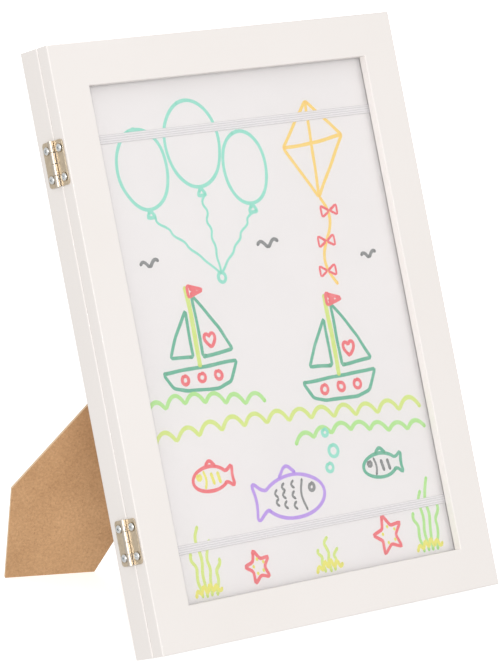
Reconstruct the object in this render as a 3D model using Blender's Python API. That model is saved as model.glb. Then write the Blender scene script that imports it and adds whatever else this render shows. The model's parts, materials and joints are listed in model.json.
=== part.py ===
"""Standing storage frame for a child's drawings.

A shallow painted box keeps a stack of sheets behind a glazed door. The door
swings on two butt hinges at the left side. A diagonal leg of brown fibreboard
folds out of the back, and its hinge has a tongue that stops it when open.

Lengths are in metres. Pieces are drawn in the coordinates of the upright
frame: x across, y towards the back, z up, with y at zero on the back face and
z at zero on the underside. One empty then leans all of it back on the leg.
"""

import math

import bmesh
import bpy
from mathutils import Matrix, Vector

# Sheets that the frame is made for
SHEET_WIDTH = 0.210
SHEET_HEIGHT = 0.297
SHEET_SIDE_GAP = 0.0025
SHEET_TOP_GAP = 0.003
SHEET_LAP = 0.002
ARTWORK_THICKNESS = 0.00025
STRAP_TO_GLAZING = 0.00035
BUNDLE_SLACK = 0.0006
BUNDLE_SHIFT_SHARES = ((0.2, 0.1), (-0.4, 0.5), (0.35, 0.0), (-0.1, 0.9), (0.5, 0.3), (-0.5, 0.6), (0.0, 0.2))

# Whole frame
BOX_RAIL_WIDTH = 0.020
DOOR_RAIL_WIDTH = BOX_RAIL_WIDTH + SHEET_SIDE_GAP + SHEET_LAP
FRAME_WIDTH = SHEET_WIDTH + 2 * (SHEET_SIDE_GAP + BOX_RAIL_WIDTH)
FRAME_HEIGHT = SHEET_HEIGHT + SHEET_TOP_GAP + 2 * BOX_RAIL_WIDTH
DOOR_DEPTH = 0.009
BOX_DEPTH = 0.0155
LEAN = math.radians(19)

# Fits
FIT_GAP = 0.0003
CUT_OVERRUN = 0.001
MERGE_DISTANCE = 0.000001
ARC_STEPS = 3
ROLL_STEPS = 20
HOLE_SIDES = 10

# Door rails and glazing
DOOR_LIP = 0.0047
DOOR_REBATE = 0.0055
DOOR_ARRIS = 0.0006
GLAZING_THICKNESS = 0.0015
GLAZING_EDGE_GAP = 0.0004
POINT_LENGTH = 0.0085
POINT_WIDTH = 0.005
POINT_THICKNESS = 0.0004
POINT_REACH = 0.0036
POINT_PLACE_SHARE = 0.45

# Box rails and back panel
BOX_ARRIS = 0.0005
PANEL_REBATE = 0.006
PANEL_THICKNESS = 0.0025
PANEL_SETBACK = 0.0008
NAIL_RADIUS = 0.0006
NAIL_LENGTH = 0.011
NAIL_HEAD_RADIUS = 0.0015
NAIL_HEAD_HEIGHT = 0.0004
NAIL_POINT = 0.002
NAIL_SIDES = 8
PANEL_NAIL_PLACE_SHARE = 0.62

# Elastic straps and their staples
STRAP_WIDTH = 0.0063
STRAP_THICKNESS = 0.0006
STRAP_RIBS = 5
STRAP_RIB_DEPTH = 0.00018
STRAP_INSET = 0.0302
STRAP_BEND_RADIUS = 0.0012
STRAP_BEND_STEPS = 5
STRAP_TAIL = 0.010
STAPLE_WIRE_RADIUS = 0.0003
STAPLE_LEG = 0.005
STAPLE_PLACE_SHARE = 0.45

# Magnetic catch
MAGNET_RADIUS = 0.004
MAGNET_THICKNESS = 0.003
KEEPER_THICKNESS = 0.0015
CATCH_INSET = 0.0095
CATCH_PLACE_SHARE = 0.5
DISC_SIDES = 24
DISC_BEVEL = 0.0002

# Door hinges
HINGE_HEIGHT = 0.0254
HINGE_END_DISTANCE = 0.0645
HINGE_BARREL_RADIUS = 0.0016
HINGE_BORE_RADIUS = 0.00085
HINGE_REACH = 0.0088
HINGE_CORNER_RADIUS = 0.0018
HINGE_AXIS_BEHIND_SEAM = 0.0013
HINGE_KNUCKLES = 4
ROLL_SLIT = 0.0003
PIN_BEVEL = 0.00015
PIN_SIDES = 16
SCREW_SPACING = 0.0162
SCREW_FROM_AXIS = 0.0056
SCREW_RADIUS = 0.001
SCREW_LENGTH = 0.009
SCREW_POINT = 0.003
SCREW_HEAD_RADIUS = 0.0019
SCREW_HEAD_HEIGHT = 0.0011
SCREW_SIDES = 16
SCREW_DOME_SHARES = ((1, 0), (1, 0.45), (0.72, 0.86), (0, 1))

# Easel leg
LEG_THICKNESS = 0.002
LEG_TOP_WIDTH = 0.033
LEG_TAPER = math.radians(5.85)
LEG_SLANT = math.radians(34)
LEG_OPENING = math.radians(38.6)
LEG_SIDE_INSET = 0.0155
LEG_PIVOT_ACROSS_SHARE = 0.164
LEG_PIVOT_UP_SHARE = 0.670

# Hinge of the easel leg
STRUT_HINGE_WIDTH = 0.030
STRUT_BARREL_RADIUS = 0.002
STRUT_BORE_RADIUS = 0.0012
STRUT_PANEL_REACH = 0.013
STRUT_LEG_REACH = 0.015
STRUT_CORNER_RADIUS = 0.003
STRUT_KNUCKLES = 3
STOP_TONGUE_WIDTH = 0.0084
STOP_TONGUE_REACH = 0.009
RIVET_RADIUS = 0.0012
RIVET_HEAD_RADIUS = 0.0023
RIVET_HEAD_HEIGHT = 0.0006
RIVET_CLINCH_HEIGHT = 0.0005
RIVET_SPACING = 0.0196
RIVET_FROM_PANEL_EDGE = 0.0045
RIVET_FROM_LEG_EDGE = 0.005
RIVET_DOME_SHARES = ((1, 0), (0.8, 0.7), (0, 1))

# Sawtooth hangers
HANGER_LENGTH = 0.045
HANGER_WIDTH = 0.0075
HANGER_THICKNESS = 0.0007
HANGER_END_FLAT = 0.008
HANGER_BOW = 0.0014
HANGER_TEETH = 9
HANGER_TOOTH_DEPTH = 0.0014
HANGER_INSET = 0.0072
PRONG_INSET = 0.0038
PRONG_RADIUS = 0.0006
PRONG_LENGTH = 0.007
PRONG_POINT = 0.003

# Places that follow from the sizes above
HALF_WIDTH = FRAME_WIDTH / 2
MID_HEIGHT = FRAME_HEIGHT / 2
FRONT_Y = -(BOX_DEPTH + DOOR_DEPTH)
LIP_BACK_Y = FRONT_Y + DOOR_LIP
DOOR_BACK_Y = -BOX_DEPTH - FIT_GAP / 2
BOX_FRONT_Y = -BOX_DEPTH + FIT_GAP / 2
PANEL_BACK_Y = -PANEL_SETBACK
PANEL_FRONT_Y = PANEL_BACK_Y - PANEL_THICKNESS
GLAZING_FRONT_Y = LIP_BACK_Y + FIT_GAP
GLAZING_BACK_Y = GLAZING_FRONT_Y + GLAZING_THICKNESS
STRAP_FRONT_Y = GLAZING_BACK_Y + STRAP_TO_GLAZING
STRAP_BACK_Y = STRAP_FRONT_Y + STRAP_THICKNESS
ARTWORK_FRONT_Y = STRAP_BACK_Y + FIT_GAP
ARTWORK_BACK_Y = ARTWORK_FRONT_Y + ARTWORK_THICKNESS
STACK_FRONT_Y = ARTWORK_BACK_Y + FIT_GAP
STACK_BACK_Y = PANEL_FRONT_Y - RIVET_CLINCH_HEIGHT - 2 * FIT_GAP
SHEET_FOOT_Z = BOX_RAIL_WIDTH + FIT_GAP
REBATE_EDGE = DOOR_RAIL_WIDTH - DOOR_REBATE

# Hinge axis of the door, and pivot of the leg
DOOR_AXIS = Vector((-HALF_WIDTH - FIT_GAP - HINGE_BARREL_RADIUS, HINGE_AXIS_BEHIND_SEAM - BOX_DEPTH, 0))
LEG_PIVOT = Vector((
    LEG_PIVOT_ACROSS_SHARE * FRAME_WIDTH,
    PANEL_BACK_Y + FIT_GAP + STRUT_BARREL_RADIUS,
    LEG_PIVOT_UP_SHARE * FRAME_HEIGHT,
))
HINGE_LEAF_THICKNESS = HINGE_BARREL_RADIUS - HINGE_BORE_RADIUS
STRUT_LEAF_THICKNESS = STRUT_BARREL_RADIUS - STRUT_BORE_RADIUS
LEG_OUTER_Y = STRUT_BORE_RADIUS - FIT_GAP
LEG_INNER_Y = LEG_OUTER_Y - LEG_THICKNESS
LEG_TOP_REACH = STRUT_BARREL_RADIUS + 2 * FIT_GAP
RIVET_PANEL_Z = STRUT_PANEL_REACH - RIVET_FROM_PANEL_EDGE
RIVET_LEG_Z = RIVET_FROM_LEG_EDGE - STRUT_LEG_REACH

# Finishes: colour, roughness, metallic
FINISHES = {
    "white_paint": ((0.86, 0.83, 0.80), 0.45, 0.0),
    "fibreboard": ((0.55, 0.33, 0.18), 0.75, 0.0),
    "paper": ((0.88, 0.87, 0.88), 0.80, 0.0),
    "elastic": ((0.80, 0.80, 0.79), 0.70, 0.0),
    "glazing": ((0.90, 0.95, 0.95), 0.05, 0.0),
    "hinge_metal": ((0.66, 0.57, 0.44), 0.35, 1.0),
    "zinc": ((0.62, 0.64, 0.67), 0.35, 1.0),
    "magnet": ((0.70, 0.70, 0.72), 0.30, 1.0),
}


def clear_scene():
    """Remove the objects that a new file starts with."""
    for thing in list(bpy.data.objects):
        bpy.data.objects.remove(thing, do_unlink=True)


def make_material(name, finish):
    """Return a Principled material of its own for one piece."""
    colour, roughness, metallic = FINISHES[finish]
    material = bpy.data.materials.new(name + "_finish")
    material.use_nodes = True
    shader = material.node_tree.nodes["Principled BSDF"]
    shader.inputs["Base Color"].default_value = (*colour, 1)
    shader.inputs["Roughness"].default_value = roughness
    shader.inputs["Metallic"].default_value = metallic
    material.diffuse_color = (*colour, 1)
    return material


def add_group(name, parent=None, place=(0, 0, 0)):
    """Add an empty that carries the pieces of one moving group."""
    group = bpy.data.objects.new(name, None)
    bpy.context.collection.objects.link(group)
    group.parent = parent
    group.location = place
    return group


def add_piece(name, data, finish, group, place=(0, 0, 0), turn=(0, 0, 0)):
    """Add one piece, with its place and turn given in its group's coordinates."""
    piece = bpy.data.objects.new(name, data)
    bpy.context.collection.objects.link(piece)
    piece.parent = group
    piece.location = place
    piece.rotation_euler = turn
    if not data.materials:
        data.materials.append(make_material(name, finish))
    return piece


def add_copies(names, data, finish, group, frames):
    """Add one piece for each name, all of one shape, at their frames in the group's coordinates."""
    for name, frame in zip(names, frames):
        place, turn, _scale = frame.decompose()
        add_piece(name, data, finish, group, place, turn.to_euler())


def cut(piece, cutter_mesh, place=(0, 0, 0), turn=(0, 0, 0), operation="DIFFERENCE"):
    """Cut a mesh, placed in the coordinates of the piece's group, out of the piece, or join it on."""
    cutter = bpy.data.objects.new(piece.name + "_cutter", cutter_mesh)
    bpy.context.collection.objects.link(cutter)
    cutter.parent = piece.parent
    cutter.location = place
    cutter.rotation_euler = turn
    cutter.hide_render = True
    cutter.display_type = "WIRE"
    boolean = piece.modifiers.new(operation.lower(), "BOOLEAN")
    boolean.operation = operation
    boolean.solver = "EXACT"
    boolean.object = cutter


def to_mesh(bm, name="shape"):
    """Turn a bmesh into a mesh whose faces all point out."""
    bmesh.ops.recalc_face_normals(bm, faces=bm.faces)
    mesh = bpy.data.meshes.new(name)
    bm.to_mesh(mesh)
    bm.free()
    return mesh


def round_shading(mesh):
    """Shade the round faces of a mesh smooth and keep its edges crisp."""
    mesh.shade_smooth()
    mesh.set_sharp_from_angle(angle=math.radians(35))
    return mesh


def arc(centre, radius, start, end, steps):
    """Return points on an arc from one angle to another."""
    points = []
    for step in range(steps + 1):
        angle = start + (end - start) * step / steps
        points.append((centre[0] + radius * math.cos(angle), centre[1] + radius * math.sin(angle)))
    return points


def rounded_outline(corners, steps=ARC_STEPS):
    """Return an outline through corners given as (x, y, radius), each rounded by its radius."""
    points = []
    for index, (x, y, radius) in enumerate(corners):
        corner = Vector((x, y))
        if radius == 0:
            points.append((x, y))
            continue
        before = (Vector(corners[index - 1][:2]) - corner).normalized()
        after = (Vector(corners[(index + 1) % len(corners)][:2]) - corner).normalized()
        half = before.angle(after) / 2
        centre = corner + (before + after).normalized() * radius / math.sin(half)
        start = (corner + before * radius / math.tan(half) - centre).normalized()
        end = (corner + after * radius / math.tan(half) - centre).normalized()
        for step in range(steps + 1):
            points.append(tuple(centre + radius * start.slerp(end, step / steps)))
    return points


def extruded(outline, low, high, axes="xzy"):
    """Extrude an outline from low to high along the last of the three axes named."""
    first, second, along = ("xyz".index(axis) for axis in axes)
    bm = bmesh.new()
    corners = []
    for point in outline:
        place = [0, 0, 0]
        place[first], place[second], place[along] = point[0], point[1], low
        corners.append(bm.verts.new(place))
    face = bm.faces.new(corners)
    grown = bmesh.ops.extrude_face_region(bm, geom=[face])["geom"]
    rise = [0, 0, 0]
    rise[along] = high - low
    bmesh.ops.translate(bm, vec=rise, verts=[part for part in grown if isinstance(part, bmesh.types.BMVert)])
    return to_mesh(bm)


def turned(profile, sides):
    """Turn a profile of (radius, height) points, which starts and ends on the axis, round z."""
    bm = bmesh.new()
    verts = [bm.verts.new((radius, 0, height)) for radius, height in profile]
    edges = [bm.edges.new(pair) for pair in zip(verts, verts[1:])]
    bmesh.ops.spin(bm, geom=verts + edges, cent=(0, 0, 0), axis=(0, 0, 1), angle=2 * math.pi, steps=sides)
    bmesh.ops.remove_doubles(bm, verts=bm.verts, dist=MERGE_DISTANCE)
    return round_shading(to_mesh(bm))


def swept(section, stations):
    """Join copies of a section of (a, b) points, one at each station matrix, into a closed body."""
    bm = bmesh.new()
    rings = []
    for station in stations:
        rings.append([bm.verts.new(station @ Vector((a, b, 0))) for a, b in section])
    for ring, following in zip(rings, rings[1:]):
        for index in range(len(section)):
            after = (index + 1) % len(section)
            bm.faces.new((ring[index], ring[after], following[after], following[index]))
    bm.faces.new(rings[0])
    bm.faces.new(rings[-1])
    return to_mesh(bm)


def gathered(meshes_and_places):
    """Return one cutter mesh that holds each mesh at its place."""
    bm = bmesh.new()
    for mesh, place in meshes_and_places:
        copy = mesh.copy()
        copy.transform(place)
        bm.from_mesh(copy)
        bpy.data.meshes.remove(copy)
    mesh = bpy.data.meshes.new("cutters")
    bm.to_mesh(mesh)
    bm.free()
    return mesh


def facing(direction, place):
    """Return the matrix that puts z along a direction at a place."""
    return Matrix.Translation(place) @ Vector(direction).to_track_quat("Z", "Y").to_matrix().to_4x4()


def bores(radius, depth, direction, places, sides=HOLE_SIDES):
    """Return cutters for round holes that start just outside each place and run to a depth."""
    outline = arc((0, 0), radius, 0, 2 * math.pi, sides)[:-1]
    bore = extruded(outline, -CUT_OVERRUN, depth, "xyz")
    return gathered([(bore, facing(direction, place)) for place in places])


def mitred_rail(section, length):
    """Return a rail along x with mitred ends, for a section of (inset, y) points.

    An inset is a distance up from the rail's outer face, which lies at z = 0.
    """
    trim = FIT_GAP / math.sqrt(2)
    ends = [(length / 2 - inset - trim, y, inset) for inset, y in section]
    bm = bmesh.new()
    face = bm.faces.new([bm.verts.new(end) for end in ends])
    grown = bmesh.ops.extrude_face_region(bm, geom=[face])["geom"]
    for part in grown:
        if isinstance(part, bmesh.types.BMVert):
            part.co.x = -part.co.x
    return round_shading(to_mesh(bm))


def four_rails(names, section, finish, group, offset=Vector((0, 0, 0))):
    """Add the left, right, top and bottom rails of one rectangle, and return them by name."""
    sides = (
        (FRAME_HEIGHT, (-HALF_WIDTH, 0, MID_HEIGHT), math.pi / 2),
        (FRAME_HEIGHT, (HALF_WIDTH, 0, MID_HEIGHT), -math.pi / 2),
        (FRAME_WIDTH, (0, 0, FRAME_HEIGHT), math.pi),
        (FRAME_WIDTH, (0, 0, 0), 0),
    )
    rails = {}
    for name, (length, place, angle) in zip(names, sides):
        mesh = mitred_rail(section, length)
        rails[name] = add_piece(name, mesh, finish, group, Vector(place) - offset, (0, angle, 0))
    return rails


def fixings_along_rails(inset, share):
    """Return, for the left, right, top and bottom rail, the frames of what fixes things to it.

    Each frame has x along the rail and z inwards. A side has two, at a share of its
    half length from the middle, and the top and the bottom have one each.
    """
    across, up = Vector((1, 0, 0)), Vector((0, 0, 1))
    rails = (
        (Vector((-HALF_WIDTH, 0, MID_HEIGHT)), across, up, (-1, 1)),
        (Vector((HALF_WIDTH, 0, MID_HEIGHT)), -across, up, (-1, 1)),
        (Vector((0, 0, FRAME_HEIGHT)), -up, across, (0,)),
        (Vector((0, 0, 0)), up, across, (0,)),
    )
    fixings = []
    for middle, inward, along, ends in rails:
        axes = Matrix((along, inward.cross(along), inward)).transposed().to_4x4()
        spots = [middle + inward * inset + along * end * share * MID_HEIGHT for end in ends]
        fixings.append([Matrix.Translation(spot) @ axes for spot in spots])
    return fixings


def box_section():
    """Return the section of a box rail, with the rebate that takes the back panel."""
    return rounded_outline((
        (0, 0, 0),
        (0, BOX_FRONT_Y, BOX_ARRIS),
        (BOX_RAIL_WIDTH, BOX_FRONT_Y, BOX_ARRIS),
        (BOX_RAIL_WIDTH, PANEL_FRONT_Y - FIT_GAP, 0),
        (BOX_RAIL_WIDTH - PANEL_REBATE, PANEL_FRONT_Y - FIT_GAP, 0),
        (BOX_RAIL_WIDTH - PANEL_REBATE, 0, 0),
    ))


def door_section():
    """Return the section of a door rail, whose lip stands in front of the glazing."""
    return rounded_outline((
        (0, DOOR_BACK_Y, DOOR_ARRIS),
        (0, FRONT_Y, DOOR_ARRIS),
        (DOOR_RAIL_WIDTH, FRONT_Y, DOOR_ARRIS),
        (DOOR_RAIL_WIDTH, LIP_BACK_Y, 0),
        (REBATE_EDGE, LIP_BACK_Y, 0),
        (REBATE_EDGE, DOOR_BACK_Y, 0),
    ))


def hinge_heights():
    """Return the heights of the middles of the lower and the upper door hinge."""
    return HINGE_END_DISTANCE, FRAME_HEIGHT - HINGE_END_DISTANCE


def screw_places(side):
    """Return the heights and y places of the screws of one leaf, side 1 for the box and -1 for the door."""
    y = DOOR_AXIS.y + side * SCREW_FROM_AXIS
    places = []
    for middle in hinge_heights():
        for end in (-1, 1):
            places.append(Vector((-HALF_WIDTH, y, middle + end * SCREW_SPACING / 2)))
    return places


def panel_nail_places():
    """Return, for each rail of the box, the places on the panel of the nails that go into its ledge."""
    fixings = fixings_along_rails(BOX_RAIL_WIDTH - PANEL_REBATE / 2, PANEL_NAIL_PLACE_SHARE)
    return [[frame.translation + Vector((0, PANEL_BACK_Y, 0)) for frame in frames] for frames in fixings]


def nail_mesh():
    """Return a small flat-headed nail along z, its head's underside at z = 0 and its point below."""
    return turned((
        (0, -NAIL_LENGTH),
        (NAIL_RADIUS, -NAIL_LENGTH + NAIL_POINT),
        (NAIL_RADIUS, 0),
        (NAIL_HEAD_RADIUS, 0),
        (NAIL_HEAD_RADIUS, NAIL_HEAD_HEIGHT),
        (0, NAIL_HEAD_HEIGHT),
    ), NAIL_SIDES)


def disc_mesh(thickness):
    """Return a round disc with broken edges, from z = 0 up to its thickness."""
    return turned((
        (0, 0),
        (MAGNET_RADIUS - DISC_BEVEL, 0),
        (MAGNET_RADIUS, DISC_BEVEL),
        (MAGNET_RADIUS, thickness - DISC_BEVEL),
        (MAGNET_RADIUS - DISC_BEVEL, thickness),
        (0, thickness),
    ), DISC_SIDES)


def catch_places(y):
    """Return the middles of the two catches on the right side at a depth y."""
    reach = CATCH_PLACE_SHARE * MID_HEIGHT
    return [Vector((HALF_WIDTH - CATCH_INSET, y, MID_HEIGHT + end * reach)) for end in (-1, 1)]


def strap_heights():
    """Return the heights of the lower and the upper strap."""
    inset = DOOR_RAIL_WIDTH + STRAP_INSET
    return inset, FRAME_HEIGHT - inset


def strap_tail_x():
    """Return the x place of the middle of a strap's turned-in tail."""
    return HALF_WIDTH - BOX_RAIL_WIDTH - FIT_GAP - STRAP_THICKNESS / 2


def staple_y():
    """Return the depth at which the staples cross the straps' tails."""
    return BOX_FRONT_Y + STAPLE_PLACE_SHARE * STRAP_TAIL


def staple_leg_heights():
    """Return the heights of every staple's two legs."""
    reach = STRAP_WIDTH / 2 + FIT_GAP + STAPLE_WIRE_RADIUS
    return [(height - reach, height + reach) for height in strap_heights()]


def build_box_rails(box):
    """Build the four rails of the box, bored for everything that is let into them."""
    names = ("box_side_left", "box_side_right", "box_rail_top", "box_rail_bottom")
    rails = four_rails(names, box_section(), "white_paint", box)
    nail_hole = NAIL_RADIUS + FIT_GAP
    for rail, places in zip(rails.values(), panel_nail_places()):
        cut(rail, bores(nail_hole, NAIL_LENGTH, (0, -1, 0), places))
    screw_depth = SCREW_LENGTH + FIT_GAP
    cut(rails["box_side_left"], bores(SCREW_RADIUS + FIT_GAP, screw_depth, (1, 0, 0), screw_places(1)))
    catch_depth = KEEPER_THICKNESS + FIT_GAP
    keepers = bores(MAGNET_RADIUS + FIT_GAP, catch_depth, (0, 1, 0), catch_places(BOX_FRONT_Y), DISC_SIDES)
    cut(rails["box_side_right"], keepers)
    staple_hole = STAPLE_WIRE_RADIUS + FIT_GAP
    for name, side in (("box_side_left", -1), ("box_side_right", 1)):
        x = side * (HALF_WIDTH - BOX_RAIL_WIDTH)
        places = [Vector((x, staple_y(), height)) for pair in staple_leg_heights() for height in pair]
        cut(rails[name], bores(staple_hole, STAPLE_LEG + FIT_GAP, (side, 0, 0), places))
    for name, upright in (("box_rail_top", True), ("box_side_right", False)):
        cut(rails[name], bores(PRONG_RADIUS + FIT_GAP, PRONG_LENGTH, (0, -1, 0), prong_places(upright)))


def build_back_panel(box):
    """Build the fibreboard panel in the back rebate, and the nails that hold it."""
    edge = BOX_RAIL_WIDTH - PANEL_REBATE + FIT_GAP
    outline = rectangle(-HALF_WIDTH + edge, HALF_WIDTH - edge, edge, FRAME_HEIGHT - edge)
    panel = add_piece("back_panel", extruded(outline, PANEL_FRONT_Y, PANEL_BACK_Y), "fibreboard", box)
    places = [place for pair in panel_nail_places() for place in pair]
    cut(panel, bores(NAIL_RADIUS + FIT_GAP, PANEL_THICKNESS + CUT_OVERRUN, (0, -1, 0), places))
    rivets = [LEG_PIVOT + strut_frame() @ Vector((x, 0, RIVET_PANEL_Z)) for x in rivet_xs()]
    rivets = [Vector((place.x, PANEL_BACK_Y, place.z)) for place in rivets]
    cut(panel, bores(RIVET_RADIUS + FIT_GAP, PANEL_THICKNESS + CUT_OVERRUN, (0, -1, 0), rivets))
    names = [f"panel_nail_{number}" for number in range(1, len(places) + 1)]
    frames = [facing((0, 1, 0), place + Vector((0, FIT_GAP, 0))) for place in places]
    add_copies(names, nail_mesh(), "zinc", box, frames)


def rectangle(left, right, low, high):
    """Return the four corners of a rectangle."""
    return ((left, low), (right, low), (right, high), (left, high))


def build_sheets(box):
    """Build the stored stack, in bundles that lie a little askew, and the sheet on show."""
    half = SHEET_WIDTH / 2
    section = rectangle(-half, half, 0, SHEET_HEIGHT)
    step = (STACK_BACK_Y - STACK_FRONT_Y) / len(BUNDLE_SHIFT_SHARES)
    stations = []
    for index, (across, up) in enumerate(BUNDLE_SHIFT_SHARES):
        for level in (index, index + 1):
            shift = Vector((across * BUNDLE_SLACK, STACK_FRONT_Y + level * step, SHEET_FOOT_Z + up * BUNDLE_SLACK))
            stations.append(Matrix.Translation(shift) @ Matrix.Rotation(math.pi / 2, 4, "X"))
    add_piece("stored_sheets", swept(section, stations), "paper", box)
    outline = rectangle(-half, half, SHEET_FOOT_Z, SHEET_FOOT_Z + SHEET_HEIGHT)
    add_piece("artwork_sheet", extruded(outline, ARTWORK_FRONT_Y, ARTWORK_BACK_Y), "paper", box)


def strap_section():
    """Return the section of the elastic, ribbed on the side away from the sheets."""
    half = STRAP_WIDTH / 2
    pitch = STRAP_WIDTH / STRAP_RIBS
    crest = STRAP_THICKNESS / 2
    groove = crest - STRAP_RIB_DEPTH
    points = [(-crest, half), (-crest, -half)]
    for rib in range(STRAP_RIBS):
        start = -half + rib * pitch
        points += [(groove, start), (crest, start + pitch / 3), (crest, start + 2 * pitch / 3)]
    points.append((groove, half))
    return points


def strap_stations():
    """Return the frames along a strap: in one side, round the stack's front, and in the other side."""
    tail_x = strap_tail_x()
    centre_x = tail_x - STRAP_BEND_RADIUS
    centre_y = (STRAP_FRONT_Y + STRAP_BACK_Y) / 2 + STRAP_BEND_RADIUS
    tail_end = BOX_FRONT_Y + STRAP_TAIL
    path = [(tail_x, tail_end, 0)]
    for step in range(STRAP_BEND_STEPS + 1):
        angle = math.pi / 2 * step / STRAP_BEND_STEPS
        x = centre_x + STRAP_BEND_RADIUS * math.cos(angle)
        y = centre_y - STRAP_BEND_RADIUS * math.sin(angle)
        path.append((x, y, angle))
    path += [(-x, y, math.pi - angle) for x, y, angle in reversed(path)]
    stations = []
    for x, y, angle in path:
        out = Vector((math.cos(angle), -math.sin(angle), 0))
        up = Vector((0, 0, 1))
        frame = Matrix((out, up, out.cross(up))).transposed().to_4x4()
        stations.append(Matrix.Translation((x, y, 0)) @ frame)
    return stations


def build_straps(box):
    """Build the two elastic straps, and the wire staples that hold their tails."""
    section = strap_section()
    for name, height in zip(("strap_lower", "strap_upper"), strap_heights()):
        add_piece(name, round_shading(swept(section, strap_stations())), "elastic", box, (0, 0, height))
    pairs = staple_leg_heights()
    for side, hand in ((-1, "left"), (1, "right")):
        for name, (low, high) in zip(("strap_lower", "strap_upper"), pairs):
            add_piece(f"{name}_staple_{hand}", staple_curve(side, low, high), "zinc", box)


def staple_curve(side, low, high):
    """Return one wire staple, its crown across the strap's tail and its legs in the rail."""
    wire = bpy.data.curves.new("staple", "CURVE")
    wire.dimensions = "3D"
    wire.bevel_depth = STAPLE_WIRE_RADIUS
    wire.bevel_resolution = 1
    wire.use_fill_caps = True
    crown = strap_tail_x() - STRAP_THICKNESS / 2 - FIT_GAP - STAPLE_WIRE_RADIUS
    tip = HALF_WIDTH - BOX_RAIL_WIDTH + STAPLE_LEG
    corners = ((tip, low), (crown, low), (crown, high), (tip, high))
    spline = wire.splines.new("POLY")
    spline.points.add(len(corners) - 1)
    for point, (x, z) in zip(spline.points, corners):
        point.co = (side * x, staple_y(), z, 1)
    return wire


def build_catches(box, door):
    """Build the steel keepers in the box and the magnets in the door that meet them."""
    keepers = [facing((0, 1, 0), place) for place in catch_places(BOX_FRONT_Y)]
    add_copies(("keeper_lower", "keeper_upper"), disc_mesh(KEEPER_THICKNESS), "zinc", box, keepers)
    magnets = [facing((0, -1, 0), place - DOOR_AXIS) for place in catch_places(DOOR_BACK_Y)]
    add_copies(("door_magnet_lower", "door_magnet_upper"), disc_mesh(MAGNET_THICKNESS), "magnet", door, magnets)


def point_frames():
    """Return, for each door rail, the frames of its glazing points, z along the point inwards."""
    y = GLAZING_BACK_Y + FIT_GAP + POINT_THICKNESS / 2
    fixings = fixings_along_rails(REBATE_EDGE + POINT_REACH, POINT_PLACE_SHARE)
    return [[Matrix.Translation((0, y, 0)) @ frame for frame in frames] for frames in fixings]


def point_blade(width, length, thickness):
    """Return a glazing point: a flat blade along z, sharp at its root and blunt at z = 0."""
    half = width / 2
    outline = ((0, -length), (half, -length / 2), (half, 0), (-half, 0), (-half, -length / 2))
    return extruded(outline, -thickness / 2, thickness / 2)


def build_door_rails(door):
    """Build the four rails of the door, bored for the magnets and screws and slit for the points."""
    names = ("door_stile_left", "door_stile_right", "door_rail_top", "door_rail_bottom")
    rails = four_rails(names, door_section(), "white_paint", door, DOOR_AXIS)
    slot = point_blade(POINT_WIDTH + 2 * FIT_GAP, POINT_LENGTH + FIT_GAP, POINT_THICKNESS + 2 * FIT_GAP)
    for rail, frames in zip(rails.values(), point_frames()):
        cut(rail, gathered([(slot, frame) for frame in frames]), -DOOR_AXIS)
    screws = bores(SCREW_RADIUS + FIT_GAP, SCREW_LENGTH + FIT_GAP, (1, 0, 0), screw_places(-1))
    cut(rails["door_stile_left"], screws, -DOOR_AXIS)
    magnet_depth = MAGNET_THICKNESS + FIT_GAP
    magnets = bores(MAGNET_RADIUS + FIT_GAP, magnet_depth, (0, -1, 0), catch_places(DOOR_BACK_Y), DISC_SIDES)
    cut(rails["door_stile_right"], magnets, -DOOR_AXIS)


def build_glazing(door):
    """Build the clear pane behind the lip, and the steel points that hold it."""
    edge = REBATE_EDGE + GLAZING_EDGE_GAP
    outline = rectangle(-HALF_WIDTH + edge, HALF_WIDTH - edge, edge, FRAME_HEIGHT - edge)
    pane = extruded(outline, GLAZING_FRONT_Y, GLAZING_BACK_Y)
    add_piece("door_glazing", pane, "glazing", door, -DOOR_AXIS)
    to_door = Matrix.Translation(-DOOR_AXIS)
    frames = [to_door @ frame for group in point_frames() for frame in group]
    names = [f"glazing_point_{number}" for number in range(1, len(frames) + 1)]
    add_copies(names, point_blade(POINT_WIDTH, POINT_LENGTH, POINT_THICKNESS), "zinc", door, frames)


def rolled_leaf(height, barrel_radius, bore_radius, reach):
    """Return a hinge leaf along z whose edge is rolled into a full-height knuckle about z.

    The leaf lies at +x of the axis and runs along +y to its reach.
    """
    slit_angle = math.acos((bore_radius - ROLL_SLIT) / barrel_radius)
    turn = 2 * math.pi - slit_angle
    outline = [(barrel_radius, reach)]
    outline += arc((0, 0), barrel_radius, 0, -turn, ROLL_STEPS)
    outline += arc((0, 0), bore_radius, -turn, 0, ROLL_STEPS)
    outline.append((bore_radius, reach))
    return round_shading(extruded(outline, -height / 2, height / 2, "xyz"))


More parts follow.
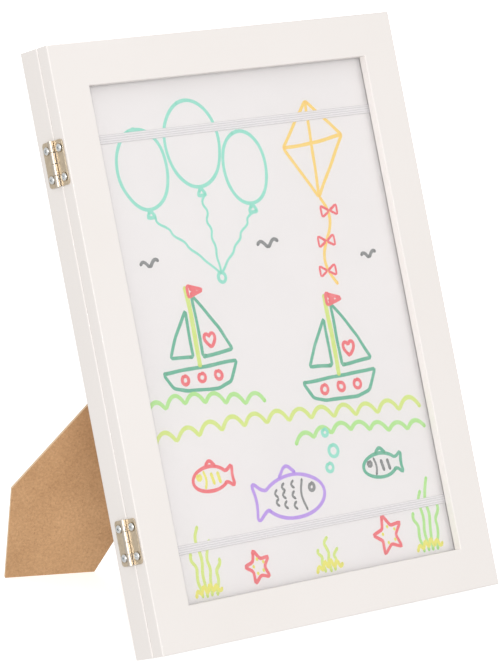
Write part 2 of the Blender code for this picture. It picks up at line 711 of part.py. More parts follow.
def leaf_cutters(height, barrel_radius, reach, corner_radius, knuckles, gone, hole_radius, holes):
    """Return what a rolled leaf loses: knuckles for its mate, outer corners and fixing holes."""
    clear = barrel_radius + FIT_GAP
    pitch = height / knuckles
    parts = []
    for index in range(knuckles):
        if index % 2 != gone:
            continue
        low = -height / 2 + index * pitch - FIT_GAP / 2
        high = low + pitch + FIT_GAP
        if index == 0:
            low -= CUT_OVERRUN
        if index == knuckles - 1:
            high += CUT_OVERRUN
        outline = rectangle(-clear - CUT_OVERRUN, clear, -clear - CUT_OVERRUN, clear)
        parts.append(extruded(outline, low, high, "xyz"))
    for end in (-1, 1):
        corner = (reach + CUT_OVERRUN, end * (height / 2 + CUT_OVERRUN))
        centre = (reach - corner_radius, end * (height / 2 - corner_radius))
        outline = arc(centre, corner_radius, 0, end * math.pi / 2, ARC_STEPS + 1)
        outline = [(corner[0], centre[1])] + outline + [(centre[0], corner[1]), corner]
        parts.append(extruded(outline, 0, barrel_radius + CUT_OVERRUN, "yzx"))
    rest = Matrix.Identity(4)
    cutters = [(part, rest) for part in parts]
    hole = extruded(arc((0, 0), hole_radius, 0, 2 * math.pi, HOLE_SIDES)[:-1], 0, barrel_radius + CUT_OVERRUN, "yzx")
    cutters += [(hole, Matrix.Translation((0, y, z))) for y, z in holes]
    return gathered(cutters)


def build_door_hinges(box, door):
    """Build both butt hinges: two rolled leaves, a pin and four screws each."""
    screw_ys = ((SCREW_FROM_AXIS, -SCREW_SPACING / 2), (SCREW_FROM_AXIS, SCREW_SPACING / 2))
    for name, middle in zip(("hinge_lower", "hinge_upper"), hinge_heights()):
        place = DOOR_AXIS + Vector((0, 0, middle))
        for group, part, gone, turn in ((box, "box", 1, 0), (door, "door", 1, math.pi)):
            spot = place if group is box else place - DOOR_AXIS
            mesh = rolled_leaf(HINGE_HEIGHT, HINGE_BARREL_RADIUS, HINGE_BORE_RADIUS, HINGE_REACH)
            leaf = add_piece(f"{name}_{part}_leaf", mesh, "hinge_metal", group, spot, (turn, 0, 0))
            cutters = leaf_cutters(
                HINGE_HEIGHT, HINGE_BARREL_RADIUS, HINGE_REACH, HINGE_CORNER_RADIUS,
                HINGE_KNUCKLES, gone, SCREW_RADIUS + FIT_GAP, screw_ys,
            )
            cut(leaf, cutters, spot, (turn, 0, 0))
        pin = pin_mesh(HINGE_BORE_RADIUS - FIT_GAP, HINGE_HEIGHT)
        add_piece(f"{name}_pin", pin, "hinge_metal", box, place)


def pin_mesh(radius, length):
    """Return a pin along z with broken ends, its middle at z = 0."""
    half = length / 2
    return turned((
        (0, -half),
        (radius - PIN_BEVEL, -half),
        (radius, PIN_BEVEL - half),
        (radius, half - PIN_BEVEL),
        (radius - PIN_BEVEL, half),
        (0, half),
    ), PIN_SIDES)


def screw_mesh():
    """Return a pan-head screw along z, its head's underside at z = 0 and its point below."""
    profile = [(0, -SCREW_LENGTH), (SCREW_RADIUS, SCREW_POINT - SCREW_LENGTH), (SCREW_RADIUS, 0)]
    profile += [(SCREW_HEAD_RADIUS * out, SCREW_HEAD_HEIGHT * up) for out, up in SCREW_DOME_SHARES]
    return turned(profile, SCREW_SIDES)


def build_hinge_screws(box, door):
    """Build the screws through each leaf, two to a leaf."""
    screw = screw_mesh()
    seat = Vector((-2 * FIT_GAP - HINGE_LEAF_THICKNESS, 0, 0))
    ends = ("lower_{}_screw_low", "lower_{}_screw_high", "upper_{}_screw_low", "upper_{}_screw_high")
    for group, part, side in ((box, "box", 1), (door, "door", -1)):
        shift = seat if group is box else seat - DOOR_AXIS
        names = ["hinge_" + end.format(part) for end in ends]
        add_copies(names, screw, "zinc", group, [facing((-1, 0, 0), place + shift) for place in screw_places(side)])


def strut_frame():
    """Return the turn that lays x along the leg's hinge pin, with z up the folded leg."""
    return Matrix.Rotation(LEG_SLANT, 3, "Y")


def rivet_xs():
    """Return the places of the two rivets of a leaf along the pin."""
    return -RIVET_SPACING / 2, RIVET_SPACING / 2


def crossing(first, second):
    """Return where two lines in the leg's plane cross, each given as (point, direction)."""
    (start, run), (other, other_run) = first, second
    share = (other - start).cross(other_run) / run.cross(other_run)
    return start + run * share


def reach_to_table(across):
    """Return how far down the leg its inner face meets the table, at a place across the leg.

    The table passes through the frame's rear bottom edge, and the leg is open.
    """
    opened = Matrix.Rotation(LEG_OPENING, 3, "X")
    start = LEG_PIVOT + strut_frame() @ (opened @ Vector((across, LEG_INNER_Y, 0)))
    down = strut_frame() @ (opened @ Vector((0, 0, -1)))
    up = Vector((0, -math.sin(LEAN), math.cos(LEAN)))
    return -start.dot(up) / down.dot(up)


def leg_outline():
    """Return the leg's outline as (x, z) points, z up the folded leg from the pin."""
    half = LEG_TOP_WIDTH / 2
    slope = Vector((math.sin(LEG_TAPER), -math.cos(LEG_TAPER)))
    inner_edge = (Vector((half, -LEG_TOP_REACH)), slope)
    outer_edge = (Vector((-half, -LEG_TOP_REACH)), Vector((-slope.x, slope.y)))
    low_left = Vector((-half, -reach_to_table(-half)))
    low_right = Vector((half, -reach_to_table(half)))
    upright_foot = (low_left, low_right - low_left)
    inward = LEG_PIVOT.x + HALF_WIDTH - LEG_SIDE_INSET
    side_start = Vector((-inward * math.cos(LEG_SLANT), -inward * math.sin(LEG_SLANT)))
    side_run = Vector((-math.sin(LEG_SLANT), math.cos(LEG_SLANT)))
    sideways_foot = (side_start, side_run)
    return (
        (-half, -LEG_TOP_REACH),
        tuple(crossing(outer_edge, sideways_foot)),
        tuple(crossing(sideways_foot, upright_foot)),
        tuple(crossing(upright_foot, inner_edge)),
        (half, -LEG_TOP_REACH),
    )


def build_leg(leg):
    """Build the fibreboard leg, with one foot edge for upright use and one for sideways use."""
    board = add_piece("easel_leg", extruded(leg_outline(), LEG_INNER_Y, LEG_OUTER_Y), "fibreboard", leg)
    places = [Vector((x, LEG_OUTER_Y, RIVET_LEG_Z)) for x in rivet_xs()]
    cut(board, bores(RIVET_RADIUS + FIT_GAP, LEG_THICKNESS + CUT_OVERRUN, (0, -1, 0), places))


def strut_leaf_cutters(reach, gone, rivet_z):
    """Return what one leaf of the leg's hinge loses, in the leaf's own drawing frame."""
    holes = [(rivet_z, x) for x in rivet_xs()]
    return leaf_cutters(
        STRUT_HINGE_WIDTH, STRUT_BARREL_RADIUS, reach, STRUT_CORNER_RADIUS,
        STRUT_KNUCKLES, gone, RIVET_RADIUS + FIT_GAP, holes,
    )


def stop_tongue():
    """Return the tongue that bears on the panel leaf when the leg is open.

    It is drawn over the panel leaf and then turned into the leg's own frame.
    """
    half = STOP_TONGUE_WIDTH / 2
    low = STRUT_LEAF_THICKNESS + FIT_GAP - STRUT_BARREL_RADIUS
    root = (STRUT_BORE_RADIUS + STRUT_BARREL_RADIUS) / 2
    outline = rounded_outline((
        (-half, root, 0),
        (half, root, 0),
        (half, STOP_TONGUE_REACH, RIVET_RADIUS),
        (-half, STOP_TONGUE_REACH, RIVET_RADIUS),
    ))
    mesh = extruded(outline, low, low + STRUT_LEAF_THICKNESS)
    mesh.transform(Matrix.Rotation(-LEG_OPENING, 4, "X"))
    return mesh


def rivet_mesh(grip):
    """Return a rivet along z, its head's underside at z = 0 and its clinched end below the grip."""
    profile = [(0, -grip - RIVET_CLINCH_HEIGHT), (RIVET_HEAD_RADIUS, -grip - RIVET_CLINCH_HEIGHT)]
    profile += [(RIVET_HEAD_RADIUS, -grip), (RIVET_RADIUS, -grip), (RIVET_RADIUS, 0)]
    profile += [(RIVET_HEAD_RADIUS * out, RIVET_HEAD_HEIGHT * up) for out, up in RIVET_DOME_SHARES]
    return turned(profile, SCREW_SIDES)


def axes_turn(x_axis, y_axis):
    """Return the turn that points x and y along two directions at right angles."""
    first, second = Vector(x_axis), Vector(y_axis)
    return Matrix((first, second, first.cross(second))).transposed().to_euler()


def build_leg_hinge(slant, leg):
    """Build the leg's hinge: a panel leaf, a leg leaf with its stop tongue, the pin and the rivets."""
    sizes = (STRUT_HINGE_WIDTH, STRUT_BARREL_RADIUS, STRUT_BORE_RADIUS)
    turn = axes_turn((0, -1, 0), (0, 0, 1))
    panel_leaf = rolled_leaf(*sizes, STRUT_PANEL_REACH)
    panel_leaf = add_piece("easel_panel_leaf", panel_leaf, "hinge_metal", slant, turn=turn)
    cut(panel_leaf, strut_leaf_cutters(STRUT_PANEL_REACH, 1, RIVET_PANEL_Z), turn=turn)
    turn = axes_turn((0, 1, 0), (0, 0, -1))
    leg_leaf = rolled_leaf(*sizes, STRUT_LEG_REACH)
    leg_leaf = add_piece("easel_leg_leaf", leg_leaf, "hinge_metal", leg, turn=turn)
    cut(leg_leaf, strut_leaf_cutters(STRUT_LEG_REACH, 0, -RIVET_LEG_Z), turn=turn)
    cut(leg_leaf, stop_tongue(), operation="UNION")
    pin = pin_mesh(STRUT_BORE_RADIUS - FIT_GAP, STRUT_HINGE_WIDTH)
    add_piece("easel_hinge_pin", pin, "hinge_metal", slant, turn=(0, math.pi / 2, 0))
    seat_gaps = 3 * FIT_GAP + STRUT_LEAF_THICKNESS
    panel_head = STRUT_LEAF_THICKNESS - STRUT_BARREL_RADIUS + FIT_GAP
    panel_rivet = rivet_mesh(PANEL_THICKNESS + seat_gaps)
    places = [facing((0, 1, 0), (x, panel_head, RIVET_PANEL_Z)) for x in rivet_xs()]
    add_copies(("easel_panel_rivet_left", "easel_panel_rivet_right"), panel_rivet, "zinc", slant, places)
    leg_rivet = rivet_mesh(LEG_THICKNESS + seat_gaps)
    places = [facing((0, 1, 0), (x, STRUT_BARREL_RADIUS + FIT_GAP, RIVET_LEG_Z)) for x in rivet_xs()]
    add_copies(("easel_leg_rivet_left", "easel_leg_rivet_right"), leg_rivet, "zinc", leg, places)


def hanger_turn(upright):
    """Return the place and turn of a hanger: across the top rail, or up the right side."""
    if upright:
        return Vector((0, 0, FRAME_HEIGHT - HANGER_INSET)), Matrix.Identity(3)
    return Vector((HALF_WIDTH - HANGER_INSET, 0, MID_HEIGHT)), Matrix.Rotation(math.pi / 2, 3, "Y")


def prong_places(upright):
    """Return where the two prongs of one hanger enter the back of its rail."""
    middle, turn = hanger_turn(upright)
    reach = HANGER_LENGTH / 2 - PRONG_INSET
    return [middle + turn @ Vector((end * reach, 0, 0)) for end in (-1, 1)]


def prong_mesh():
    """Return a spike along z whose root is sunk in the hanger's strip and whose point is below."""
    root = FIT_GAP + HANGER_THICKNESS / 2
    return turned((
        (0, -PRONG_LENGTH + FIT_GAP),
        (PRONG_RADIUS, -PRONG_LENGTH + PRONG_POINT),
        (PRONG_RADIUS, root),
        (0, root),
    ), NAIL_SIDES)


def hanger_mesh():
    """Return a sawtooth hanger along x: a strip with flat ends that bows back over its teeth."""
    end = HANGER_LENGTH / 2
    half = end - HANGER_END_FLAT
    spots = [(-end, 0, 0)]
    for index in range(2 * HANGER_TEETH + 1):
        x = -half + index * half / HANGER_TEETH
        spots.append((x, HANGER_BOW * (1 - (x / half) ** 2), (index % 2) * HANGER_TOOTH_DEPTH))
    spots.append((end, 0, 0))
    stations = []
    for x, bow, notch in spots:
        rise = HANGER_WIDTH - notch
        axes = Matrix(((0, 0, 1), (HANGER_THICKNESS, 0, 0), (0, rise, 0))).to_4x4()
        stations.append(Matrix.Translation((x, FIT_GAP + bow, HANGER_WIDTH / 2 - rise)) @ axes)
    return swept(((0, 0), (1, 0), (1, 1), (0, 1)), stations)


def build_hangers(box):
    """Build the hanger on the top rail and the one on the right side, each with two prongs."""
    for name, upright in (("hanger_portrait", True), ("hanger_landscape", False)):
        place, turn = hanger_turn(upright)
        hanger = add_piece(name, hanger_mesh(), "zinc", box, place, turn.to_euler())
        prongs = gathered([(prong_mesh(), facing((0, 1, 0), spot)) for spot in prong_places(upright)])
        cut(hanger, prongs, operation="UNION")


def stand_on_table(lean):
    """Put the middle of the whole frame's box over the origin, with its lowest point at zero."""
    bpy.context.view_layer.update()
    depsgraph = bpy.context.evaluated_depsgraph_get()
    low = Vector((math.inf,) * 3)
    high = Vector((-math.inf,) * 3)
    for piece in bpy.data.objects:
        if piece.hide_render or piece.type == "EMPTY":
            continue
        evaluated = piece.evaluated_get(depsgraph)
        for vertex in evaluated.to_mesh().vertices:
            spot = evaluated.matrix_world @ vertex.co
            low = Vector(map(min, low, spot))
            high = Vector(map(max, high, spot))
        evaluated.to_mesh_clear()
    middle = (low + high) / 2
    lean.location = (-middle.x, -middle.y, -low.z)
    bpy.context.view_layer.update()


def build_frame():
    """Build the whole frame, open on its leg, leaning back on the table."""
    clear_scene()
    lean = add_group("lean")
    lean.rotation_euler = (-LEAN, 0, 0)
    box = add_group("box", lean)
    door = add_group("door", lean, DOOR_AXIS)
    slant = add_group("leg_pivot", lean, LEG_PIVOT)
    slant.rotation_euler = (0, LEG_SLANT, 0)
    leg = add_group("leg", slant)
    leg.rotation_euler = (LEG_OPENING, 0, 0)
    build_box_rails(box)
    build_back_panel(box)
    build_sheets(box)
    build_straps(box)
    build_catches(box, door)
    build_door_rails(door)
    build_glazing(door)
    build_door_hinges(box, door)
    build_hinge_screws(box, door)
    build_leg(leg)
    build_leg_hinge(slant, leg)
    build_hangers(box)
    stand_on_table(lean)


build_frame()
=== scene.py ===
"""Looks of a standing art frame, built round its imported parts.

Lengths are in metres. Pieces are drawn in the coordinates of the upright
frame: x across, y towards the back with zero on the back face, z up from the
underside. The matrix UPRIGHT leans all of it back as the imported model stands.
The drawing has its own coordinates: u and v in millimetres from the lower
left corner of the window.
"""

import json
import math
import random

import bmesh
import bpy
from mathutils import Matrix, Vector, noise

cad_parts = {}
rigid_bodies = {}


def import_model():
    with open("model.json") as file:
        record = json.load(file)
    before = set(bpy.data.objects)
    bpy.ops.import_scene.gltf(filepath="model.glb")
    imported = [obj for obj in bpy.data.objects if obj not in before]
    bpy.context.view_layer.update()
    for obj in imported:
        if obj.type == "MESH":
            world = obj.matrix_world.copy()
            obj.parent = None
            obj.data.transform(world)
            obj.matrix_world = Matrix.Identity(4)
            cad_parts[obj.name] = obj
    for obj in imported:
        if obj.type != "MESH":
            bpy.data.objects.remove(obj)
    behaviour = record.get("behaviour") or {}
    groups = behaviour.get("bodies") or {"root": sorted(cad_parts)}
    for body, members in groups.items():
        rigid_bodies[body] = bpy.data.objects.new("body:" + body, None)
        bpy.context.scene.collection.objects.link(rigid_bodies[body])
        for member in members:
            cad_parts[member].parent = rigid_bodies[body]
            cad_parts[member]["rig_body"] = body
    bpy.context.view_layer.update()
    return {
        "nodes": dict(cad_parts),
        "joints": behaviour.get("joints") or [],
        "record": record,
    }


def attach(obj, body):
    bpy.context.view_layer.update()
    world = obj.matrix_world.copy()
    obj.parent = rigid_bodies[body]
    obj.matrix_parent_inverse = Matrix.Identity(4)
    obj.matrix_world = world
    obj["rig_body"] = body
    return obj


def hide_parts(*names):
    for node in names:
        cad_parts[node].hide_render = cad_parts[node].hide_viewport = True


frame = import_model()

# Camera
CAMERA_PLACE = (-1.65046, -1.88756, 0.6954)
CAMERA_YAW = math.radians(41.51)
CAMERA_PITCH = math.radians(12.18)
CAMERA_ROLL = math.radians(1.56)
CAMERA_LENS = 241.5
CAMERA_SENSOR = 36
CAMERA_REACH = 100

# Light, with the place, the size and the power of each lamp
LAMPS = {
    "key_light": ((-4.5, -5.5, 2.1), 2.2, 235),
    "side_light": ((-6.0, -1.6, 1.2), 5.0, 39),
    "top_light": ((0.1, -0.9, 2.2), 1.6, 4),
    "back_light": ((2.4, 3.4, 2.0), 4.5, 60),
}
LAMP_AIM = (0, 0, 0.15)
BACKDROP_COLOUR = (1.0, 1.0, 1.0)
WORLD_COLOUR = (1.0, 0.99, 0.98)
WORLD_STRENGTH = 0.62
FLOOR_SIZE = 24
FLOOR_LOW = (0.88, 0.88, 0.88)
FLOOR_HIGH = (0.9, 0.9, 0.9)
FLOOR_GLOW = 0.6

# Shared by many pieces
FIT_GAP = 0.0003
MERGE_DISTANCE = 0.000002
FLAT_ANGLE = math.radians(1)
SHARP_ANGLE = math.radians(40)
ARC_STEPS = 4
ROUND_SEGMENTS = 2
ROUND_PROFILE = 0.5
STEEL_ROUND = 0.00012

# Rounds on the edges of the nodes that are drawn in their own shape
EDGE_ROUNDS = {
    "easel_leg": 0.00022,
    "back_panel": 0.0002,
    "artwork_sheet": 0.00003,
    "easel_leg_leaf": STEEL_ROUND,
    "easel_panel_leaf": STEEL_ROUND,
    "hanger_portrait": STEEL_ROUND,
    "hanger_landscape": STEEL_ROUND,
}

# Door and box rails
DOOR_ARRIS = 0.0007
DOOR_BACK_ARRIS = 0.0008
DOOR_BACK_REACH = 0.0002
LIP_ARRIS = 0.0005
BOX_ARRIS = 0.001
GLAZING_EDGE_GAP = 0.0004
GLAZING_FACE_GAP = 0.00006
PANEL_REBATE_GAP = 0.0003
DISC_SIDES = 40

# Stack of sheets
SHEETS_SHOWN = 26
SHEET_SLACK = 0.0005
SHEET_SEED = 4

# Elastic straps
STRAP_THICKNESS = 0.0006
STRAP_BEND_RADIUS = 0.0012
STRAP_BEND_STEPS = 8
STRAP_RIBS = 4
STRAP_RIB_DEPTH = 0.0002
STRAP_RIB_STEPS = 6
STRAP_EDGE_REACH = 0.001
STRAP_EDGE_DROP = 0.0003
STRAP_EDGE_LIE = 0.00024
STRAP_STRETCHED_SHARE = 0.82

# Hinge screws and the seats sunk for them
SCREW_HEAD_RADIUS = 0.00225
SCREW_HEAD_HEIGHT = 0.00135
SCREW_HEAD_SHARES = (
    (0.45, 0), (0.5, 0.2), (1, 0.42), (0.99, 0.52), (0.88, 0.74), (0.65, 0.9), (0.34, 0.98), (0, 1),
)
SCREW_SHANK_RADIUS = 0.001
SCREW_POINT_LENGTH = 0.002
SCREW_SIDES = 36
SCREW_SEED = 11
SCREW_SEAT_DEPTH = 0.0011
SCREW_SINK = 0.0006
SINK_FLOOR_RADIUS = 0.00285
SINK_RIM_RADIUS = 0.003
RECESS_REACH = 0.0014
RECESS_WIDTH = 0.00065
RECESS_DEPTH = 0.0011
RECESS_TAPER_SHARE = 0.5
BARREL_REACH = 0.0018

# Pen strokes
MM = 0.001
INK_THICKNESS = 0.00003
INK_SINK = 0.00002
INK_LEVEL = 0.000012
INK_RISE = 0.000006
PEN_WIDTH = 2.1
FINE_PEN_WIDTH = 1.5
SWELL_WIDTH = 2.5
MAST_WIDTH = 3.0
PEN_SAMPLE = 1.1
PEN_FEWEST_STEPS = 3
PEN_WOBBLE = 0.55
PEN_WOBBLE_PITCH = 16
PEN_WOBBLE_ROW = 3.7
PEN_WOBBLE_SEED = 5
PEN_SPREAD_SHARE = 0.12
PEN_SPREAD_PITCH = 7
PEN_REST = 2.2
PEN_REST_SHARE = 0.16
PEN_TIP_LEAST = 0.2
CRISP_STEP = 3.0
CORNER_CUTS = (0.25, 0.75)
CORNER_PASSES = 2

# Things in the drawing
OVAL_STEPS = 18
NECK_WIDTH = 6.4
NECK_HEIGHT = 4.8
STRING_WAVES = 9
STRING_SWAY = 2.6
STRING_START = 4
KITE_TOP_SHARE = 0.42
KITE_FOOT_SHARE = 0.58
TAIL_STEPS = 7
TAIL_PITCH = 8.5
TAIL_SWAY = 6
TAIL_WAVE = 1.1
BOW_REACH = 6
HEART = ((0, -1.1), (-1, 0), (-0.9, 0.8), (-0.3, 0.9), (0, 0.35), (0.3, 0.9), (0.9, 0.8), (1, 0))
HEART_SHARE = 0.15
PORTHOLE_SHARE = 0.09
SWELL_STEPS = 6
SWELL_POWER = 0.8
SWELL_DRIFT = 3
SWELL_DRIFT_TURN = 5
SMALL_FISH = 30
FISH_SIDES = 16
FISH_SCALES = ((-0.04, (-0.12, 0.01, 0.14)), (-0.19, (-0.09, 0.03, 0.13)), (-0.32, (-0.04, 0.07)))
STAR_ARMS = 5
STAR_TILT = 0.2
STAR_WAIST_SHARE = 0.46
STAR_DOT_SHARE = 0.4
BLADE_PITCH = 3.4
BLADE_STEPS = 6
BLADE_SWAY = 2.4
BLADE_WAVE = 2.1
BLADE_LEAN = 3
SAND_WIDTH = 20
SAND_HEIGHT = 9
SCRIBBLE_PITCH = 2.2
SCRIBBLE_FOOT = 0.8
SCRIBBLE_SIDE_SHARE = 0.45

JOINTS = {joint["name"]: joint for joint in frame["joints"]}
SWING_AXIS = Vector(JOINTS["door_swing"]["axis"])
TILT = Matrix.Rotation(-math.atan2(-SWING_AXIS.y, -SWING_AXIS.z), 4, "X")

# Turns that point z to the back, point z out at the left, and stand a flat section up
ALONG_Y = Matrix.Rotation(-math.pi / 2, 4, "X")
OUTWARDS = Matrix.Rotation(-math.pi / 2, 4, "Y")
STANDING = Matrix(((1, 0, 0), (0, 0, 1), (0, 1, 0))).to_4x4()


def corners_in(turn, node):
    """Return the lowest and highest corner of a node along the axes of a turned frame."""
    back = turn.inverted()
    points = [back @ vertex.co for vertex in frame["nodes"][node].data.vertices]
    low = Vector([min(point[axis] for point in points) for axis in range(3)])
    high = Vector([max(point[axis] for point in points) for axis in range(3)])
    return low, high


def upright_matrix():
    """Return the matrix that stands the upright frame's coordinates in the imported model."""
    low, high = corners_in(TILT, "box_rail_bottom")
    return TILT @ Matrix.Translation(((low.x + high.x) / 2, high.y, low.z))


UPRIGHT = upright_matrix()


def upright_box(node):
    """Return the lowest and highest corner of a node in the upright frame."""
    return corners_in(UPRIGHT, node)


# Colours

def srgb(red, green, blue):
    """Return the linear colour of three display values from 0 to 255."""
    shares = [value / 255 for value in (red, green, blue)]
    return tuple(s / 12.92 if s <= 0.04045 else ((s + 0.055) / 1.055) ** 2.4 for s in shares)


PAINT_LOW = srgb(240, 235, 231)
PAINT_HIGH = srgb(243, 238, 235)
BOARD_LOW = srgb(203, 159, 114)
BOARD_HIGH = srgb(221, 177, 131)
BOARD_CUT = srgb(232, 203, 168)
PANEL_LOW = srgb(190, 146, 104)
PANEL_HIGH = srgb(206, 162, 118)
FIBRE_DARK = (0.66, 0.6, 0.53)
FIBRE_PALE = (1.0, 1.0, 1.0)
FLECK_DARK = srgb(158, 114, 76)
FLECK_PALE = srgb(222, 184, 144)
PAPER_LOW = srgb(240, 235, 235)
PAPER_HIGH = srgb(243, 238, 238)
SHEET_SHADE = srgb(205, 200, 200)
ELASTIC_LOW = srgb(238, 233, 235)
ELASTIC_HIGH = srgb(246, 241, 243)
# Darker colour in the grooves between the elastic's ribs: painted shade
ELASTIC_GROOVE_SHADE = srgb(214, 210, 212)
NICKEL_LOW = srgb(218, 202, 177)
NICKEL_HIGH = srgb(236, 220, 195)
# Paler colour on the hinge barrels: a painted highlight
NICKEL_PAINTED_HIGHLIGHT = srgb(216, 206, 192)
ZINC_LOW = srgb(240, 243, 244)
ZINC_HIGH = srgb(248, 250, 250)
MAGNET_LOW = srgb(206, 206, 209)
MAGNET_HIGH = srgb(224, 224, 226)
GLAZING_TINT = srgb(246, 250, 250)
INKS = {
    "mint": srgb(138, 224, 202),
    "yellow": srgb(253, 212, 92),
    "teal": srgb(66, 174, 138),
    "lime": srgb(214, 232, 112),
    "leaf": srgb(174, 230, 130),
    "coral": srgb(242, 84, 94),
    "purple": srgb(184, 138, 234),
    "grey": srgb(122, 122, 122),
    "straw": srgb(238, 232, 84),
}

# Other values of the materials
MICRON = 0.000001
WAVE_SCALE = math.pi / 10
COLOUR_A = 6
COLOUR_B = 7
MIXED_COLOUR = 2
FIBRE_SHARE = 0.75
FLECK_SHARE = 0.62
FLECK_FADE = 0.1
METAL_SMOOTHER = 0.06
METAL_ROUGHER = 0.08
NICKEL_ROUGHNESS = 0.38
ZINC_ROUGHNESS = 0.34
MAGNET_ROUGHNESS = 0.22
DRAWN_UPWARDS = (1, 1, 0.1)
GLAZING_INDEX = 1.5
GLAZING_ALPHA = 0.08
INK_PALE_SHARE = 0.14
INK_DEEP_POWER = 1.45


# Materials

class Look:
    """A node material in the making, with one Principled shader."""

    def __init__(self, name, roughness, metallic=0.0, coat=0.0, sheen=0.0):
        self.material = bpy.data.materials.new(name)
        self.material.use_nodes = True
        self.tree = self.material.node_tree
        self.shader = self.tree.nodes["Principled BSDF"]
        self.shader.inputs["Roughness"].default_value = roughness
        self.shader.inputs["Metallic"].default_value = metallic
        self.shader.inputs["Coat Weight"].default_value = coat
        self.shader.inputs["Sheen Weight"].default_value = sheen
        self.place = self.tree.nodes.new("ShaderNodeTexCoord").outputs["Object"]
        to_upright = UPRIGHT.inverted()
        self.place = self.stretched((1, 1, 1), to_upright.to_euler(), to_upright.to_translation())

    def node(self, kind, **values):
        """Add a node and set its properties."""
        node = self.tree.nodes.new(kind)
        for key, value in values.items():
            setattr(node, key, value)
        return node

    def link(self, start, end):
        """Link an output to an input."""
        self.tree.links.new(start, end)

    def stretched(self, scale, turn=(0, 0, 0), shift=(0, 0, 0)):
        """Return the coordinates, which start as the upright frame's, scaled, turned and shifted."""
        mapping = self.node("ShaderNodeMapping")
        mapping.inputs["Location"].default_value = shift
        mapping.inputs["Scale"].default_value = scale
        mapping.inputs["Rotation"].default_value = turn
        self.link(self.place, mapping.inputs["Vector"])
        return mapping.outputs["Vector"]

    def noise(self, scale, detail=4, roughness=0.55, stretch=None, turn=(0, 0, 0)):
        """Return a noise value from 0 to 1, with its scale in lumps per metre."""
        texture = self.node("ShaderNodeTexNoise")
        texture.inputs["Scale"].default_value = scale
        texture.inputs["Detail"].default_value = detail
        texture.inputs["Roughness"].default_value = roughness
        place = self.stretched(stretch, turn) if stretch else self.place
        self.link(place, texture.inputs["Vector"])
        return texture.outputs["Fac"]

    def bands(self, scale, direction, distortion):
        """Return a band value from 0 to 1, with its scale in bands per metre."""
        texture = self.node("ShaderNodeTexWave", bands_direction=direction)
        texture.inputs["Scale"].default_value = scale * WAVE_SCALE
        texture.inputs["Distortion"].default_value = distortion
        texture.inputs["Detail"].default_value = 1
        self.link(self.place, texture.inputs["Vector"])
        return texture.outputs["Fac"]

    def attribute(self, name):
        """Return a number that the mesh carries at its points or faces."""
        return self.node("ShaderNodeAttribute", attribute_name=name).outputs["Fac"]

    def ramp(self, value, start, end):
        """Return a colour read between two stops, each given as (position, colour)."""
        ramp = self.node("ShaderNodeValToRGB")
        for element, (position, colour) in zip(ramp.color_ramp.elements, (start, end)):
            element.position = position
            element.color = (*colour, 1)
        self.link(value, ramp.inputs["Fac"])
        return ramp.outputs["Color"]

    def clouded(self, value, low, high, margin=0.3):
        """Return a colour that turns from low to high between two margins of a value."""
        return self.ramp(value, (margin, low), (1 - margin, high))

    def mix(self, share, first, second, blend="MIX"):
        """Return two colours mixed by a share, which is a number or an output."""
        mix = self.node("ShaderNodeMix", data_type="RGBA", blend_type=blend)
        inputs = (mix.inputs["Factor"], mix.inputs[COLOUR_A], mix.inputs[COLOUR_B])
        for socket, value in zip(inputs, (share, first, second)):
            if isinstance(value, bpy.types.NodeSocket):
                self.link(value, socket)
            elif isinstance(value, tuple):
                socket.default_value = (*value, 1)
            else:
                socket.default_value = value
        return mix.outputs[MIXED_COLOUR]

    def flecked(self, base, value, start, colour):
        """Return a colour with flecks of another one, where a value is past its start."""
        share = self.ramp(value, (start, (0, 0, 0)), (start + FLECK_FADE, (FLECK_SHARE,) * 3))
        return self.mix(share, base, colour)

    def spread(self, value, low, high):
        """Return a 0 to 1 value mapped to a range."""
        span = self.node("ShaderNodeMapRange")
        span.inputs["To Min"].default_value = low
        span.inputs["To Max"].default_value = high
        self.link(value, span.inputs["Value"])
        return span.outputs["Result"]

    def colour(self, value):
        """Set the base colour from an output."""
        self.link(value, self.shader.inputs["Base Color"])

    def roughness(self, value, low, high):
        """Vary the roughness over a range."""
        self.link(self.spread(value, low, high), self.shader.inputs["Roughness"])

    def bump(self, *layers):
        """Stack bumps, each given as (height, depth in microns)."""
        normal = None
        for height, depth in layers:
            bump = self.node("ShaderNodeBump")
            bump.inputs["Strength"].default_value = 1
            bump.inputs["Distance"].default_value = depth * MICRON
            self.link(height, bump.inputs["Height"])
            if normal:
                self.link(normal, bump.inputs["Normal"])
            normal = bump.outputs["Normal"]
        self.link(normal, self.shader.inputs["Normal"])


def paint_look():
    """Satin warm white paint, sprayed on smooth wood."""
    look = Look("white_paint", roughness=0.48, coat=0.04)
    cloud = look.noise(9, detail=3)
    look.colour(look.clouded(cloud, PAINT_LOW, PAINT_HIGH, margin=0.25))
    skin = look.noise(1300, detail=2)
    flow = look.noise(230, detail=3)
    look.roughness(look.noise(60), 0.42, 0.54)
    look.bump((skin, 6), (flow, 14))
    return look.material


def fibreboard_look(name, low, high):
    """Bare brown fibreboard: short fibres, dark flecks and pale ones."""
    look = Look(name, roughness=0.78, sheen=0.1)
    base = look.clouded(look.noise(26, detail=5, roughness=0.65), low, high)
    fibres = look.noise(700, detail=6, roughness=0.8)
    shade = look.ramp(fibres, (0.35, FIBRE_DARK), (0.62, FIBRE_PALE))
    base = look.mix(FIBRE_SHARE, base, shade, "MULTIPLY")
    dark = look.noise(840, detail=3, roughness=0.7, stretch=(1, 1, 0.6), turn=(0.8, 0.2, 1.1))
    base = look.flecked(base, dark, 0.6, FLECK_DARK)
    pale = look.noise(960, detail=3, roughness=0.7, stretch=(0.5, 1, 1), turn=(1.4, 0.5, 0.2))
    base = look.flecked(base, pale, 0.61, FLECK_PALE)
    look.colour(look.mix(look.attribute("cut"), base, BOARD_CUT))
    look.roughness(fibres, 0.66, 0.88)
    look.bump((fibres, 50), (dark, 20))
    return look.material


